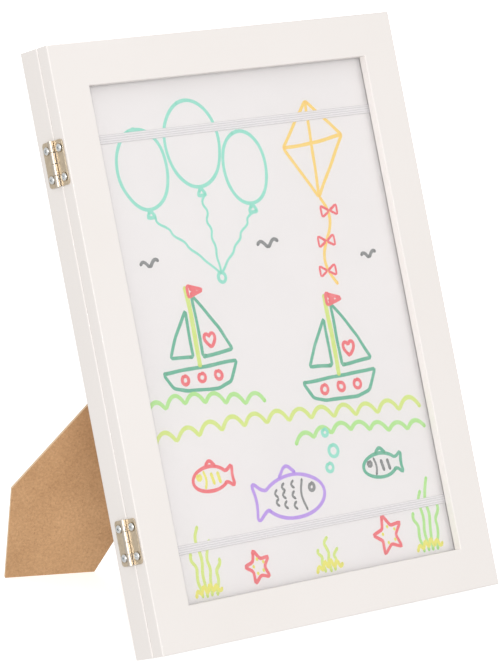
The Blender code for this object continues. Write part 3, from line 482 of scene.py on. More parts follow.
def paper_look(name, sheet_shade_lines=False):
    """Matte white paper with a trace of its fibres, and painted shade in the lines between sheets in a
    stack.
    """
    look = Look(name, roughness=0.72)
    cloud = look.noise(14, detail=3)
    base = look.clouded(cloud, PAPER_LOW, PAPER_HIGH)
    fibres = look.noise(1500, roughness=0.6)
    base = look.mix(look.spread(fibres, 0.0, 0.05), base, PAPER_LOW, "MULTIPLY")
    if sheet_shade_lines:
        # Painted shade in the lines between the stacked sheets
        lines = look.noise(3, detail=2, roughness=0.5, stretch=(1, 1500, 1))
        base = look.mix(look.spread(lines, 0.0, 0.5), base, SHEET_SHADE, "MULTIPLY")
    look.colour(base)
    look.bump((fibres, 12), (cloud, 100))
    return look.material


def elastic_look():
    """White braided elastic: soft ribs along it, painted shade in the grooves between them, and fine picks
    across.
    """
    look = Look("elastic", roughness=0.8, sheen=0.2)
    picks = look.bands(1500, "X", distortion=0.3)
    yarn = look.noise(2600, detail=2, roughness=0.5, stretch=(0.4, 1, 1))
    base = look.mix(look.spread(yarn, 0.0, 0.3), ELASTIC_HIGH, ELASTIC_LOW)
    base = look.mix(look.spread(picks, 0.0, 0.2), base, ELASTIC_LOW)
    # Painted shade: darker where the mesh lies deep in a groove
    look.colour(look.mix(look.attribute("groove"), base, ELASTIC_GROOVE_SHADE))
    look.bump((picks, 12), (yarn, 8))
    return look.material


def metal_look(name, low, high, roughness, drawn=None, painted_barrel_highlight=None):
    """Plated steel: faint drawn lines, cloudy plating, small marks, and a paler colour on marked faces, a
    painted highlight.
    """
    look = Look(name, roughness, metallic=1.0)
    base = look.clouded(look.noise(380), low, high)
    # Faces marked on the mesh take a paler colour: a painted highlight
    if painted_barrel_highlight:
        base = look.mix(look.attribute("painted_barrel_highlight"), base, painted_barrel_highlight)
    look.colour(base)
    lines = look.noise(900, detail=3, roughness=0.6, stretch=drawn)
    marks = look.noise(2200, detail=2)
    look.roughness(lines, roughness - METAL_SMOOTHER, roughness + METAL_ROUGHER)
    look.bump((lines, 4), (marks, 2))
    return look.material


def glazing_look():
    """Thin clear pane: a faint film that keeps its reflections."""
    look = Look("glazing", roughness=0.04)
    look.shader.inputs["Base Color"].default_value = (*GLAZING_TINT, 1)
    look.shader.inputs["IOR"].default_value = GLAZING_INDEX
    look.shader.inputs["Alpha"].default_value = GLAZING_ALPHA
    look.roughness(look.noise(70, detail=3), 0.03, 0.07)
    return look.material


def ink_look(name, colour):
    """Felt pen ink on paper, a little uneven where the pen ran slow or dry."""
    look = Look(name, roughness=0.65)
    pale = tuple(channel + (1 - channel) * INK_PALE_SHARE for channel in colour)
    deep = tuple(channel ** INK_DEEP_POWER for channel in colour)
    flow = look.noise(210, detail=3, roughness=0.6)
    grain = look.noise(1800, detail=3, roughness=0.6)
    base = look.ramp(flow, (0.5, colour), (0.85, pale))
    base = look.mix(look.attribute("pool"), base, deep)
    look.colour(look.mix(look.spread(grain, 0.0, 0.2), base, pale))
    look.bump((grain, 8))
    return look.material


def floor_look():
    """Plain pale light table."""
    look = Look("floor", roughness=0.9)
    look.colour(look.clouded(look.noise(3, detail=2), FLOOR_LOW, FLOOR_HIGH, margin=0.2))
    look.shader.inputs["Emission Color"].default_value = (*BACKDROP_COLOUR, 1)
    look.shader.inputs["Emission Strength"].default_value = FLOOR_GLOW
    return look.material


LOOKS = {
    "white_paint": paint_look(),
    "fibreboard": fibreboard_look("fibreboard", BOARD_LOW, BOARD_HIGH),
    "panel": fibreboard_look("panel_fibreboard", PANEL_LOW, PANEL_HIGH),
    "paper": paper_look("paper", sheet_shade_lines=True),
    "drawing_paper": paper_look("drawing_paper"),
    "elastic": elastic_look(),
    "glazing": glazing_look(),
    "hinge_metal": metal_look(
        "hinge_metal", NICKEL_LOW, NICKEL_HIGH, NICKEL_ROUGHNESS, DRAWN_UPWARDS, NICKEL_PAINTED_HIGHLIGHT,
    ),
    "zinc": metal_look("zinc", ZINC_LOW, ZINC_HIGH, ZINC_ROUGHNESS),
    "magnet": metal_look("magnet", MAGNET_LOW, MAGNET_HIGH, MAGNET_ROUGHNESS),
}
for ink, ink_colour in INKS.items():
    LOOKS[f"ink_{ink}"] = ink_look(f"ink_{ink}", ink_colour)


# Building

def to_mesh(bm, name):
    """Turn a bmesh into a mesh whose faces all point out."""
    bmesh.ops.recalc_face_normals(bm, faces=bm.faces)
    mesh = bpy.data.meshes.new(name)
    bm.to_mesh(mesh)
    bm.free()
    return mesh


def set_values(mesh, name, values, domain="POINT"):
    """Give each point or face of a mesh a number that its material reads."""
    mesh.attributes.new(name, "FLOAT", domain).data.foreach_set("value", values)


def add_piece(name, mesh, body, slot, replaced=(), look=None, place=UPRIGHT):
    """Add a piece of the object that rides on a body, in its slot's look unless another is named."""
    mesh.transform(place)
    mesh.materials.append(LOOKS[look or slot])
    piece = bpy.data.objects.new(name, mesh)
    bpy.context.scene.collection.objects.link(piece)
    mesh.shade_smooth()
    mesh.set_sharp_from_angle(angle=SHARP_ANGLE)
    piece.modifiers.new("face weighted normals", "WEIGHTED_NORMAL").keep_sharp = True
    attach(piece, body)
    if replaced:
        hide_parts(*replaced)


def rounded_outline(corners):
    """Return an outline through corners given as (x, y, radius), each rounded by its radius."""
    points = []
    for index, (x, y, radius) in enumerate(corners):
        corner = Vector((x, y))
        if radius == 0:
            points.append((x, y))
            continue
        before = (Vector(corners[index - 1][:2]) - corner).normalized()
        after = (Vector(corners[(index + 1) % len(corners)][:2]) - corner).normalized()
        half = before.angle(after) / 2
        centre = corner + (before + after).normalized() * radius / math.sin(half)
        start = (corner + before * radius / math.tan(half) - centre).normalized()
        end = (corner + after * radius / math.tan(half) - centre).normalized()
        for step in range(ARC_STEPS + 1):
            points.append(tuple(centre + radius * start.slerp(end, step / ARC_STEPS)))
    return points


def join_rings(bm, rings, closed=False):
    """Join rings of points, each to the next, with a cap at both ends or the last joined to the first."""
    following = rings[1:] + rings[:1] if closed else rings[1:]
    for ring, later in zip(rings, following):
        for index in range(len(ring)):
            after = (index + 1) % len(ring)
            bm.faces.new((ring[index], ring[after], later[after], later[index]))
    if not closed:
        bm.faces.new(rings[0])
        bm.faces.new(rings[-1])


def swept(section, stations, name):
    """Join copies of a section of (a, b) points, one at each station matrix, into a body."""
    bm = bmesh.new()
    rings = [[bm.verts.new(station @ Vector((a, b, 0))) for a, b in section] for station in stations]
    join_rings(bm, rings)
    return to_mesh(bm, name)


def turned(profile, sides, name="turned"):
    """Turn a profile of (radius, height) points, which starts and ends on the axis, round z."""
    bm = bmesh.new()
    verts = [bm.verts.new((radius, 0, height)) for radius, height in profile]
    edges = [bm.edges.new(pair) for pair in zip(verts, verts[1:])]
    bmesh.ops.spin(bm, geom=verts + edges, cent=(0, 0, 0), axis=(0, 0, 1), angle=2 * math.pi, steps=sides)
    bmesh.ops.remove_doubles(bm, verts=bm.verts, dist=MERGE_DISTANCE)
    return to_mesh(bm, name)


def carved(mesh, cutters):
    """Return a mesh with cutters taken out of it, each given as (mesh, matrix)."""
    block = bpy.data.objects.new("block", mesh)
    bpy.context.scene.collection.objects.link(block)
    tools = []
    for cutter, place in cutters:
        tool = bpy.data.objects.new("tool", cutter)
        bpy.context.scene.collection.objects.link(tool)
        tool.matrix_world = place
        boolean = block.modifiers.new("cut", "BOOLEAN")
        boolean.operation = "DIFFERENCE"
        boolean.solver = "EXACT"
        boolean.object = tool
        tools.append(tool)
    bpy.context.view_layer.update()
    depsgraph = bpy.context.evaluated_depsgraph_get()
    result = bpy.data.meshes.new_from_object(block.evaluated_get(depsgraph))
    for thing in (block, *tools):
        bpy.data.objects.remove(thing)
    bm = bmesh.new()
    bm.from_mesh(result)
    bmesh.ops.dissolve_degenerate(bm, dist=MERGE_DISTANCE, edges=bm.edges)
    bpy.data.meshes.remove(result)
    return to_mesh(bm, "carved")


def softened(node, width):
    """Return a node's own shape, in the upright frame, with its edges broken by a small round."""
    bm = bmesh.new()
    bm.from_mesh(frame["nodes"][node].data)
    bm.transform(UPRIGHT.inverted())
    bmesh.ops.remove_doubles(bm, verts=bm.verts, dist=MERGE_DISTANCE)
    bmesh.ops.dissolve_limit(bm, angle_limit=FLAT_ANGLE, verts=bm.verts, edges=bm.edges)
    edges = [edge for edge in bm.edges if edge.is_manifold and edge.calc_face_angle(0) > SHARP_ANGLE]
    bmesh.ops.bevel(
        bm, geom=edges, affect="EDGES", offset=width, segments=ROUND_SEGMENTS, profile=ROUND_PROFILE,
        clamp_overlap=True,
    )
    return to_mesh(bm, node + "_softened")


def mark_cut_faces(mesh):
    """Tell a sheet's material which faces stand across it, where a saw cut it."""
    broad = max(mesh.polygons, key=lambda face: face.area).normal.copy()
    set_values(mesh, "cut", [1 - abs(face.normal.dot(broad)) for face in mesh.polygons], "FACE")


def add_softened(node, look, slot):
    """Replace a node with its own shape, its edges broken by a small round."""
    mesh = softened(node, EDGE_ROUNDS[node])
    if slot == "fibreboard":
        mark_cut_faces(mesh)
    body = frame["nodes"][node]["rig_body"]
    add_piece(node + "_finished", mesh, body, slot, (node,), look)


# Painted frames

def let_in(node):
    """Return the cutter of the round seat that a disc is let into."""
    low, high = upright_box(node)
    radius = (high.x - low.x) / 2 + FIT_GAP
    length = high.y - low.y + 2 * FIT_GAP
    mesh = turned(((0, 0), (radius, 0), (radius, length), (0, length)), DISC_SIDES)
    start = Vector(((low.x + high.x) / 2, low.y - FIT_GAP, (low.z + high.z) / 2))
    return mesh, Matrix.Translation(start) @ ALONG_Y


def ring_of_rails(section, corner, name):
    """Return a mitred frame in one mesh, for a section of (inset, y) points and its upper right corner."""
    bm = bmesh.new()
    rings = []
    for side, upper in ((-1, False), (1, False), (1, True), (-1, True)):
        ring = []
        for inset, y in section:
            z = corner.z - inset if upper else inset
            ring.append(bm.verts.new((side * (corner.x - inset), y, z)))
        rings.append(ring)
    join_rings(bm, rings, closed=True)
    return to_mesh(bm, name)


def add_painted_frame(body, upright, disc, section):
    """Add a body's four rails as one piece, its mitres filled and painted over, with seats for its discs."""
    corner = upright_box(f"{body}_{upright}_right")[1]
    mesh = ring_of_rails(section, corner, f"{body}_frame")
    cutters = [let_in(f"{disc}_{end}") for end in ("lower", "upper")]
    rails = (f"{body}_{upright}_left", f"{body}_{upright}_right", f"{body}_rail_top", f"{body}_rail_bottom")
    add_piece(f"{body}_frame_painted", carved(mesh, cutters), body, "white_paint", rails)


def build_door_frame():
    """Build the door's painted frame, rebated behind for the pane."""
    low, high = upright_box("door_rail_bottom")
    pane = upright_box("door_glazing")[0]
    lip_back = pane.y - GLAZING_FACE_GAP
    rebate = pane.z - GLAZING_EDGE_GAP
    back = high.y + DOOR_BACK_REACH
    section = rounded_outline((
        (0, back, DOOR_BACK_ARRIS),
        (0, low.y, DOOR_ARRIS),
        (high.z, low.y, LIP_ARRIS),
        (high.z, lip_back, 0),
        (rebate, lip_back, 0),
        (rebate, back, 0),
    ))
    add_painted_frame("door", "stile", "door_magnet", section)


def build_box_frame():
    """Build the box's painted frame, rebated behind for the panel."""
    low, high = upright_box("box_rail_bottom")
    panel = upright_box("back_panel")[0]
    ledge = panel.y - PANEL_REBATE_GAP
    rebate = panel.z - PANEL_REBATE_GAP
    section = rounded_outline((
        (0, high.y, BOX_ARRIS),
        (0, low.y, BOX_ARRIS),
        (high.z, low.y, BOX_ARRIS),
        (high.z, ledge, 0),
        (rebate, ledge, 0),
        (rebate, high.y, 0),
    ))
    add_painted_frame("box", "side", "keeper", section)


# Sheets and straps

def build_stack():
    """Build the stored stack as many thin sheets that lie a little askew."""
    low, high = upright_box("stored_sheets")
    draws = random.Random(SHEET_SEED)
    step = (high.y - low.y) / SHEETS_SHOWN
    stations = []
    for index in range(SHEETS_SHOWN):
        across = SHEET_SLACK * draws.uniform(-1, 1)
        up = SHEET_SLACK * draws.uniform(0, 1)
        for level in (index, index + 1):
            stations.append(Matrix.Translation((across, low.y + level * step, up)) @ STANDING)
    left, right = low.x + SHEET_SLACK, high.x - SHEET_SLACK
    top = high.z - SHEET_SLACK
    mesh = swept(((left, low.z), (right, low.z), (right, top), (left, top)), stations, "stack")
    add_piece("stack_of_sheets", mesh, "box", "paper", ("stored_sheets",))


def strap_section(width):
    """Return the points of the elastic's section, and how deep in a groove each of them lies, which also
    sets the painted shade in the grooves.

    Its ribs are on the side away from the sheets, and its thin edges are laid down on them.
    """
    half = width / 2
    crest = STRAP_THICKNESS / 2
    inner = half - STRAP_EDGE_REACH
    laid = -crest - STRAP_EDGE_LIE
    points = [(laid, half), (-crest, inner), (-crest, -inner), (laid, -half)]
    groove_shades = [0.0] * len(points)
    steps = STRAP_RIBS * STRAP_RIB_STEPS
    for step in range(steps + 1):
        share = step / steps
        groove = math.cos(2 * math.pi * STRAP_RIBS * share) / 2 + 0.5
        to_edge = width * min(share, 1 - share)
        drop = STRAP_EDGE_DROP * max(0.0, 1 - to_edge / STRAP_EDGE_REACH) ** 2
        points.append((crest - STRAP_RIB_DEPTH * groove - drop, -half + width * share))
        groove_shades.append(groove)
    return points, groove_shades


def strap_stations(low, high):
    """Return the frames along a strap: up one side, round the stack's front and down the other.

    Its ends keep their width, and between them it is stretched, and so it is narrower.
    """
    tail_x = high.x - STRAP_THICKNESS / 2
    centre_x = tail_x - STRAP_BEND_RADIUS
    centre_y = low.y + STRAP_THICKNESS / 2 + STRAP_BEND_RADIUS
    path = [(tail_x, high.y, 0)]
    for step in range(STRAP_BEND_STEPS + 1):
        angle = math.pi / 2 * step / STRAP_BEND_STEPS
        x = centre_x + STRAP_BEND_RADIUS * math.cos(angle)
        y = centre_y - STRAP_BEND_RADIUS * math.sin(angle)
        path.append((x, y, angle))
    path += [(-x, y, math.pi - angle) for x, y, angle in reversed(path)]
    stations = []
    for x, y, angle in path:
        out = Vector((math.cos(angle), -math.sin(angle), 0))
        up = Vector((0, 0, 1 if y == high.y else STRAP_STRETCHED_SHARE))
        axes = Matrix((out, up, out.cross(up))).transposed().to_4x4()
        stations.append(Matrix.Translation((x, y, (low.z + high.z) / 2)) @ axes)
    return stations


def build_straps():
    """Build the two ribbed elastic straps across the sheets."""
    for node in ("strap_lower", "strap_upper"):
        low, high = upright_box(node)
        section, groove_shades = strap_section(high.z - low.z)
        stations = strap_stations(low, high)
        mesh = swept(section, stations, node)
        # The groove depth carries the painted shade into the material
        set_values(mesh, "groove", groove_shades * len(stations))
        add_piece(node + "_elastic", mesh, "box", "elastic", (node,))


# Hinges

def recess_cutter():
    """Return one arm of a cross recess: a wedge across the head, narrower at its foot."""
    top = SCREW_HEAD_HEIGHT + RECESS_WIDTH
    low = SCREW_HEAD_HEIGHT - RECESS_DEPTH
    bm = bmesh.new()
    rings = []
    for height, share in ((low, RECESS_TAPER_SHARE), (top, 1)):
        x = RECESS_REACH * share
        y = RECESS_WIDTH / 2 * (1 + share) / 2
        rings.append([bm.verts.new((a, b, height)) for a, b in ((-x, -y), (x, -y), (x, y), (-x, y))])
    join_rings(bm, rings)
    return to_mesh(bm, "recess")


def screw_mesh(shank):
    """Return a raised-head screw along z with a cross recess, its head's underside at z = 0."""
    profile = [(0, -shank), (SCREW_SHANK_RADIUS, SCREW_POINT_LENGTH - shank), (SCREW_SHANK_RADIUS, 0)]
    profile += [(SCREW_HEAD_RADIUS * out, SCREW_HEAD_HEIGHT * up) for out, up in SCREW_HEAD_SHARES]
    arm = recess_cutter()
    quarter = Matrix.Rotation(math.pi / 2, 4, "Z")
    arms = [(arm, Matrix.Identity(4)), (arm.copy(), quarter)]
    return carved(turned(profile, SCREW_SIDES, "screw"), arms)


def screw_seat(screw):
    """Return where a CAD screw's head meets its leaf, in the upright frame."""
    low, high = upright_box(screw)
    return Vector((low.x + SCREW_SEAT_DEPTH, (low.y + high.y) / 2, (low.z + high.z) / 2))


def mark_barrel(mesh, hinge):
    """Tell a leaf's material which faces are on its barrel, which get a paler colour as a painted highlight.
    """
    low, high = upright_box(f"hinge_{hinge}_pin")
    axis = ((low.x + high.x) / 2, (low.y + high.y) / 2)
    near = [float(math.dist(face.center.xy, axis) < BARREL_REACH) for face in mesh.polygons]
    # Barrel faces are marked for the painted highlight
    set_values(mesh, "painted_barrel_highlight", near, "FACE")


def add_sunk_leaf(hinge, side):
    """Replace a butt hinge's leaf with its own shape, its edges broken and its holes countersunk."""
    node = f"hinge_{hinge}_{side}_leaf"
    profile = (
        (0, -SCREW_SINK),
        (SINK_FLOOR_RADIUS, -SCREW_SINK),
        (SINK_RIM_RADIUS, 0),
        (SINK_RIM_RADIUS, SCREW_SINK),
        (0, SCREW_SINK),
    )
    tools = []
    for end in ("low", "high"):
        seat = screw_seat(f"hinge_{hinge}_{side}_screw_{end}")
        tools.append((turned(profile, SCREW_SIDES), Matrix.Translation(seat) @ OUTWARDS))
    mesh = carved(softened(node, STEEL_ROUND), tools)
    mark_barrel(mesh, hinge)
    add_piece(node + "_finished", mesh, side, "hinge_metal", (node,))


def build_hinges():
    """Build the butt hinges' leaves and screws, each screw turned as far as it happened to be driven."""
    draws = random.Random(SCREW_SEED)
    low, high = upright_box("hinge_lower_box_screw_low")
    mesh = screw_mesh(high.x - low.x - SCREW_SEAT_DEPTH - SCREW_SINK)
    for hinge in ("lower", "upper"):
        for side in ("box", "door"):
            add_sunk_leaf(hinge, side)
            for end in ("low", "high"):
                screw = f"hinge_{hinge}_{side}_screw_{end}"
                seat = screw_seat(screw) + Vector((SCREW_SINK, 0, 0))
                turn = Matrix.Rotation(draws.uniform(0, math.pi / 2), 4, "Z")
                place = UPRIGHT @ Matrix.Translation(seat) @ OUTWARDS @ turn
                add_piece(screw + "_raised_head", mesh.copy(), side, "zinc", (screw,), place=place)


# Drawing

class Drawing:
    """Felt pen strokes in window coordinates, gathered by ink."""

    def __init__(self):
        self.strokes = {ink: [] for ink in INKS}
        self.covered = []

    def line(self, ink, points, width=PEN_WIDTH, crisp=False):
        """Draw one pen stroke through control points, its corners rounded as a hand does."""
        if crisp:
            points = filled_in(points, CRISP_STEP)
        for _pass in range(CORNER_PASSES):
            points = cut_corners(points)
        path = shaken(points, len(self.covered) + 1)
        low = Vector((min(point.x for point in path), min(point.y for point in path)))
        high = Vector((max(point.x for point in path), max(point.y for point in path)))
        level = 0
        for other_low, other_high, other_level in self.covered:
            if max(*(low - other_high), *(other_low - high)) < PEN_WIDTH:
                level = max(level, other_level + 1)
        self.covered.append((low, high, level))
        self.strokes[ink].append((path, width, level))

    def loop(self, ink, points, width=PEN_WIDTH, crisp=False):
        """Draw a closed shape, whose end runs on a little past its start."""
        first, second = Vector(points[0]), Vector(points[1])
        past = first.lerp(second, min(1, CRISP_STEP / (second - first).length))
        self.line(ink, [*points, points[0], tuple(past)], width, crisp)

    def oval(self, ink, centre, wide, tall):
        """Draw an oval that starts at its top and runs on one step past its start."""
        points = []
        for step in range(OVAL_STEPS + 2):
            angle = math.pi / 2 + 2 * math.pi * step / OVAL_STEPS
            points.append((centre[0] + wide * math.cos(angle), centre[1] + tall * math.sin(angle)))
        self.line(ink, points)


def between(start, end, share):
    """Return the point at a share of the way from one point to another."""
    return tuple(a + (b - a) * share for a, b in zip(start, end))


def filled_in(points, step):
    """Return a path with extra points on its straight runs, so that its corners stay crisp."""
    result = []
    for start, end in zip(points, points[1:]):
        count = max(1, round(math.dist(start, end) / step))
        result += [between(start, end, index / count) for index in range(count)]
    return [*result, points[-1]]


def cut_corners(points):
    """Return a path with each corner cut at a quarter of both its edges."""
    result = [points[0]]
    for start, end in zip(points, points[1:]):
        result += [between(start, end, share) for share in CORNER_CUTS]
    return [*result, points[-1]]


def shaken(points, seed):
    """Return a path read at even steps, with the slow wobble of a hand."""
    runs = [math.dist(start, end) for start, end in zip(points, points[1:])]
    length = sum(runs)
    count = max(PEN_FEWEST_STEPS, round(length / PEN_SAMPLE))
    result = []
    index, done = 0, 0.0
    for step in range(count + 1):
        target = length * step / count
        while index < len(runs) - 1 and done + runs[index] < target:
            done += runs[index]
            index += 1
        share = (target - done) / runs[index] if runs[index] else 0
        start, end = Vector(points[index]), Vector(points[index + 1])
        drift = noise.noise_vector(Vector((target / PEN_WOBBLE_PITCH, seed * PEN_WOBBLE_ROW, 0.5)))
        result.append(start.lerp(end, share) + Vector((drift.x, drift.y)) * PEN_WOBBLE)
    return result


def add_ribbon(bm, path, width, level, corner, paper_y):
    """Add one stroke as a thin closed ribbon with round ends, in front of the paper."""
    pool = bm.verts.layers.float["pool"]
    back = paper_y + INK_SINK
    steps = [0.0]
    for start, end in zip(path, path[1:]):
        steps.append(steps[-1] + (end - start).length)
    rings = []
    for index, (place, done) in enumerate(zip(path, steps)):
        along = (path[min(index + 1, len(path) - 1)] - path[max(index - 1, 0)]).normalized()
        drift = noise.noise(Vector((done / PEN_SPREAD_PITCH, path[0].x, path[0].y)))
        to_end = min(done, steps[-1] - done)
        rest = max(0.0, 1 - to_end / PEN_REST)
        tip = max(0.0, 1 - to_end / (width / 2))
        swell = 1 + drift * PEN_SPREAD_SHARE + rest * PEN_REST_SHARE
        half = width / 2 * swell * math.sqrt(max(PEN_TIP_LEAST, 1 - tip * tip))
        aside = Vector((-along.y, along.x)) * half
        front = paper_y - INK_THICKNESS - level * INK_LEVEL - INK_RISE * done / steps[-1]
        ring = []
        for side, y in ((1, front), (-1, front), (-1, back), (1, back)):
            spot = place + aside * side
            vert = bm.verts.new((corner[0] + spot.x * MM, y, corner[1] + spot.y * MM))
            vert[pool] = rest
            ring.append(vert)
        rings.append(ring)
    join_rings(bm, rings)


def draw_balloon(page, centre, wide, tall, knot):
    """Draw a balloon with its neck and a wavy string down to the knot."""
    page.oval("mint", centre, wide, tall)
    u, v = centre[0], centre[1] - tall
    half = NECK_WIDTH / 2
    page.loop("mint", ((u, v), (u - half, v - NECK_HEIGHT), (u + half, v - NECK_HEIGHT)), crisp=True)
    string = []
    for step in range(STRING_WAVES + 1):
        share = step / STRING_WAVES
        sway = STRING_SWAY * (-1) ** step * (1 - share)
        x = u + (knot[0] - u) * share + sway
        string.append((x, v - STRING_START + (knot[1] - v + STRING_START) * share))
    page.line("mint", string, FINE_PEN_WIDTH)


def draw_kite(page, centre, wide, tall):
    """Draw a kite with its two spars and a tail of small bows."""
    u, v = centre
    top, foot = (u, v + tall * KITE_TOP_SHARE), (u - 3, v - tall * KITE_FOOT_SHARE)
    left, right = (u - wide / 2, v - 2), (u + wide / 2, v + 2)
    page.loop("yellow", (top, right, foot, left), crisp=True)
    page.line("yellow", (top, (u - 1, v), foot))
    page.line("yellow", (left, (u, v - 1), right))
    tail = []
    for step in range(TAIL_STEPS):
        tail.append((foot[0] + TAIL_SWAY * math.sin(TAIL_WAVE * step), foot[1] - TAIL_PITCH * step))
    page.line("yellow", tail)
    for u, v in tail[1:-1:2]:
        for side in (-BOW_REACH, BOW_REACH):
            bow = ((u, v), (u + side, v + 3.6), (u + side, v - 3.2))
            page.loop("coral", bow, FINE_PEN_WIDTH, crisp=True)


def draw_boat(page, foot, size):
    """Draw a sailing boat: hull with portholes, mast, two sails and a pennant."""
    u, v = foot

    def at(a, b):
        return u + a * size, v + b * size

    hull = (at(-1, 0.42), at(1, 0.48), at(0.74, 0.06), at(0.4, -0.03), at(-0.45, 0), at(-0.78, 0.1))
    page.loop("teal", hull, crisp=True)
    page.line("lime", (at(0, 0.45), at(0.02, 1.2), at(0, 2.15)), MAST_WIDTH)
    page.loop("teal", (at(0.13, 0.66), at(0.95, 0.72), at(0.7, 1.2), at(0.13, 1.95)), crisp=True)
    page.loop("teal", (at(-0.13, 0.68), at(-0.74, 0.72), at(-0.5, 1.15), at(-0.12, 1.66)), crisp=True)
    page.loop("coral", (at(0.04, 2.16), at(0.46, 2.02), at(0.05, 1.9)), crisp=True)
    page.line("coral", (at(0.1, 2.09), at(0.28, 2.03), at(0.1, 1.98)), crisp=True)
    for a in (-0.45, 0, 0.45):
        page.oval("coral", at(a, 0.23), PORTHOLE_SHARE * size, PORTHOLE_SHARE * size)
    page.loop("coral", [at(0.4 + HEART_SHARE * a, 0.98 + HEART_SHARE * b) for a, b in HEART])


def draw_swell(page, ink, start, end, height, waves, crest):
    """Draw a long line of rounded waves."""
    points = []
    steps = waves * SWELL_STEPS
    for step in range(steps + 1):
        share = step / steps
        lift = crest * abs(math.sin(math.pi * waves * share)) ** SWELL_POWER
        drift = SWELL_DRIFT * math.sin(SWELL_DRIFT_TURN * share)
        points.append((start + (end - start) * share, height + lift + drift))
    page.line(ink, points, SWELL_WIDTH)


def draw_fish(page, centre, length, ink, spots, side=1):
    """Draw a fish with a tail, an eye, a fin, and rows of scales or, if small, two stripes."""
    u, v = centre

    def at(a, b):
        return u + side * a * length, v + b * length

    turns = [2 * math.pi * step / FISH_SIDES for step in range(1 - FISH_SIDES // 2, FISH_SIDES // 2)]
    body = [at(0.5 * math.cos(turn), 0.27 * math.sin(turn)) for turn in turns]
    page.loop(ink, [*body, at(-0.66, 0.27), at(-0.6, 0), at(-0.66, -0.27)])
    eye = 0.03 * length + 0.6
    page.oval(spots, at(0.3, 0.07), eye, eye)
    page.line(spots, (at(0.17, 0.2), at(0.1, 0), at(0.17, -0.2)), FINE_PEN_WIDTH)
    if length > SMALL_FISH:
        for a, row in FISH_SCALES:
            for b in row:
                scale = (at(a + 0.06, b + 0.05), at(a, b), at(a + 0.06, b - 0.05))
                page.line(spots, scale, FINE_PEN_WIDTH)
    else:
        for a in (-0.04, -0.22):
            page.line(spots, (at(a, 0.13), at(a - 0.05, -0.13)))
    page.line(ink, (at(0.08, 0.28), at(-0.06, 0.42), at(-0.2, 0.25)))


def draw_starfish(page, centre, size, ink):
    """Draw a plump five-armed starfish with a ring of dots."""
    def at(reach, turns):
        angle = math.pi / 2 + STAR_TILT + math.pi * turns / STAR_ARMS
        return centre[0] + reach * math.cos(angle), centre[1] + reach * math.sin(angle)

    reaches = (size, size * STAR_WAIST_SHARE)
    page.loop(ink, [at(reaches[step % 2], step) for step in range(2 * STAR_ARMS)], crisp=True)
    for arm in range(STAR_ARMS):
        u, v = at(size * STAR_DOT_SHARE, 2 * arm)
        page.line("straw", ((u, v), (u + 1.6, v + 0.5)))


def draw_weed(page, root, heights, ink):
    """Draw a tuft of seaweed, each blade a wavy stroke, with scribbled sand at its foot."""
    for index, height in enumerate(heights):
        start = root[0] + (index - (len(heights) - 1) / 2) * BLADE_PITCH
        blade = []
        for step in range(BLADE_STEPS + 1):
            share = step / BLADE_STEPS
            sway = BLADE_SWAY * math.sin(BLADE_WAVE * step + index) * share
            blade.append((start + (index - 1) * BLADE_LEAN * share + sway, root[1] + height * share))
        page.line(ink, blade)
    draw_scribble(page, "straw", (root[0] - SAND_WIDTH / 2, root[1]), SAND_WIDTH, SAND_HEIGHT)


def draw_scribble(page, ink, corner, wide, tall):
    """Fill a patch with one zigzag stroke."""
    points = []
    turns = round(wide / SCRIBBLE_PITCH)
    for step in range(turns + 1):
        share = step / turns
        hump = tall * (SCRIBBLE_SIDE_SHARE + (1 - SCRIBBLE_SIDE_SHARE) * math.sin(math.pi * share))
        points.append((corner[0] + wide * share, corner[1] + (hump if step % 2 else SCRIBBLE_FOOT)))
    page.line(ink, points)


def draw_gull(page, centre, span):
    """Draw a far bird as two joined arcs."""
    u, v = centre
    page.line("grey", ((u - span, v + 1), (u - span * 0.6, v + span * 0.5), (u, v - 1)))
    page.line("grey", ((u, v - 1), (u + span * 0.55, v + span * 0.55), (u + span, v + 2)))


def draw_sea_picture():
    """Draw a child's picture of balloons, a kite and two boats over a sea with fish."""
    page = Drawing()
    knot = (74, 178)
    draw_balloon(page, (32, 242), 18, 23, knot)
    draw_balloon(page, (71, 253), 20, 25, knot)
    draw_balloon(page, (106, 236), 16, 21, knot)
    page.oval("mint", (knot[0], knot[1] - 2), 2.6, 2.8)
    draw_kite(page, (160, 246), 46, 56)
    draw_gull(page, (112, 190), 8)
    draw_gull(page, (24, 188), 7)
    draw_gull(page, (186, 176), 6)
    draw_boat(page, (46, 116), 27)
    draw_boat(page, (146, 98), 28)
    draw_swell(page, "leaf", 2, 88, 106, 6, 6)
    draw_swell(page, "lime", 3, 203, 88, 12, 7)
    draw_swell(page, "leaf", 104, 204, 76, 7, 5)
    draw_fish(page, (96, 48), 46, "purple", "grey")
    draw_fish(page, (38, 66), 26, "coral", "straw", -1)
    draw_fish(page, (164, 56), 26, "teal", "grey", -1)
    for centre, radius in (((126, 60), 2.4), ((131, 69), 3.4), ((127, 80), 2.0)):
        page.oval("mint", centre, radius, radius)
    draw_starfish(page, (160, 16), 12, "coral")
    draw_starfish(page, (60, 13), 10, "coral")
    draw_weed(page, (22, 2), (26, 40, 31, 20), "lime")
    draw_weed(page, (190, 2), (24, 36, 43, 27), "leaf")
    draw_weed(page, (112, 2), (14, 20, 13), "lime")
    return page


def build_drawing():
    """Lay every stroke of the picture on the sheet, one mesh for each ink.

    Without a seed of its own, the noise that wobbles the strokes would start from the time of day.
    """
    noise.seed_set(PEN_WOBBLE_SEED)
    paper_y = upright_box("artwork_sheet")[0].y
    rail_low, rail_high = upright_box("door_rail_bottom")
    corner = (rail_low.x + rail_high.z, rail_high.z)
    for ink, strokes in draw_sea_picture().strokes.items():
        bm = bmesh.new()
        bm.verts.layers.float.new("pool")
        for path, width, level in strokes:
            add_ribbon(bm, path, width, level, corner, paper_y)
        add_piece(f"pen_strokes_{ink}", to_mesh(bm, ink), "box", "drawing_paper", look=f"ink_{ink}")


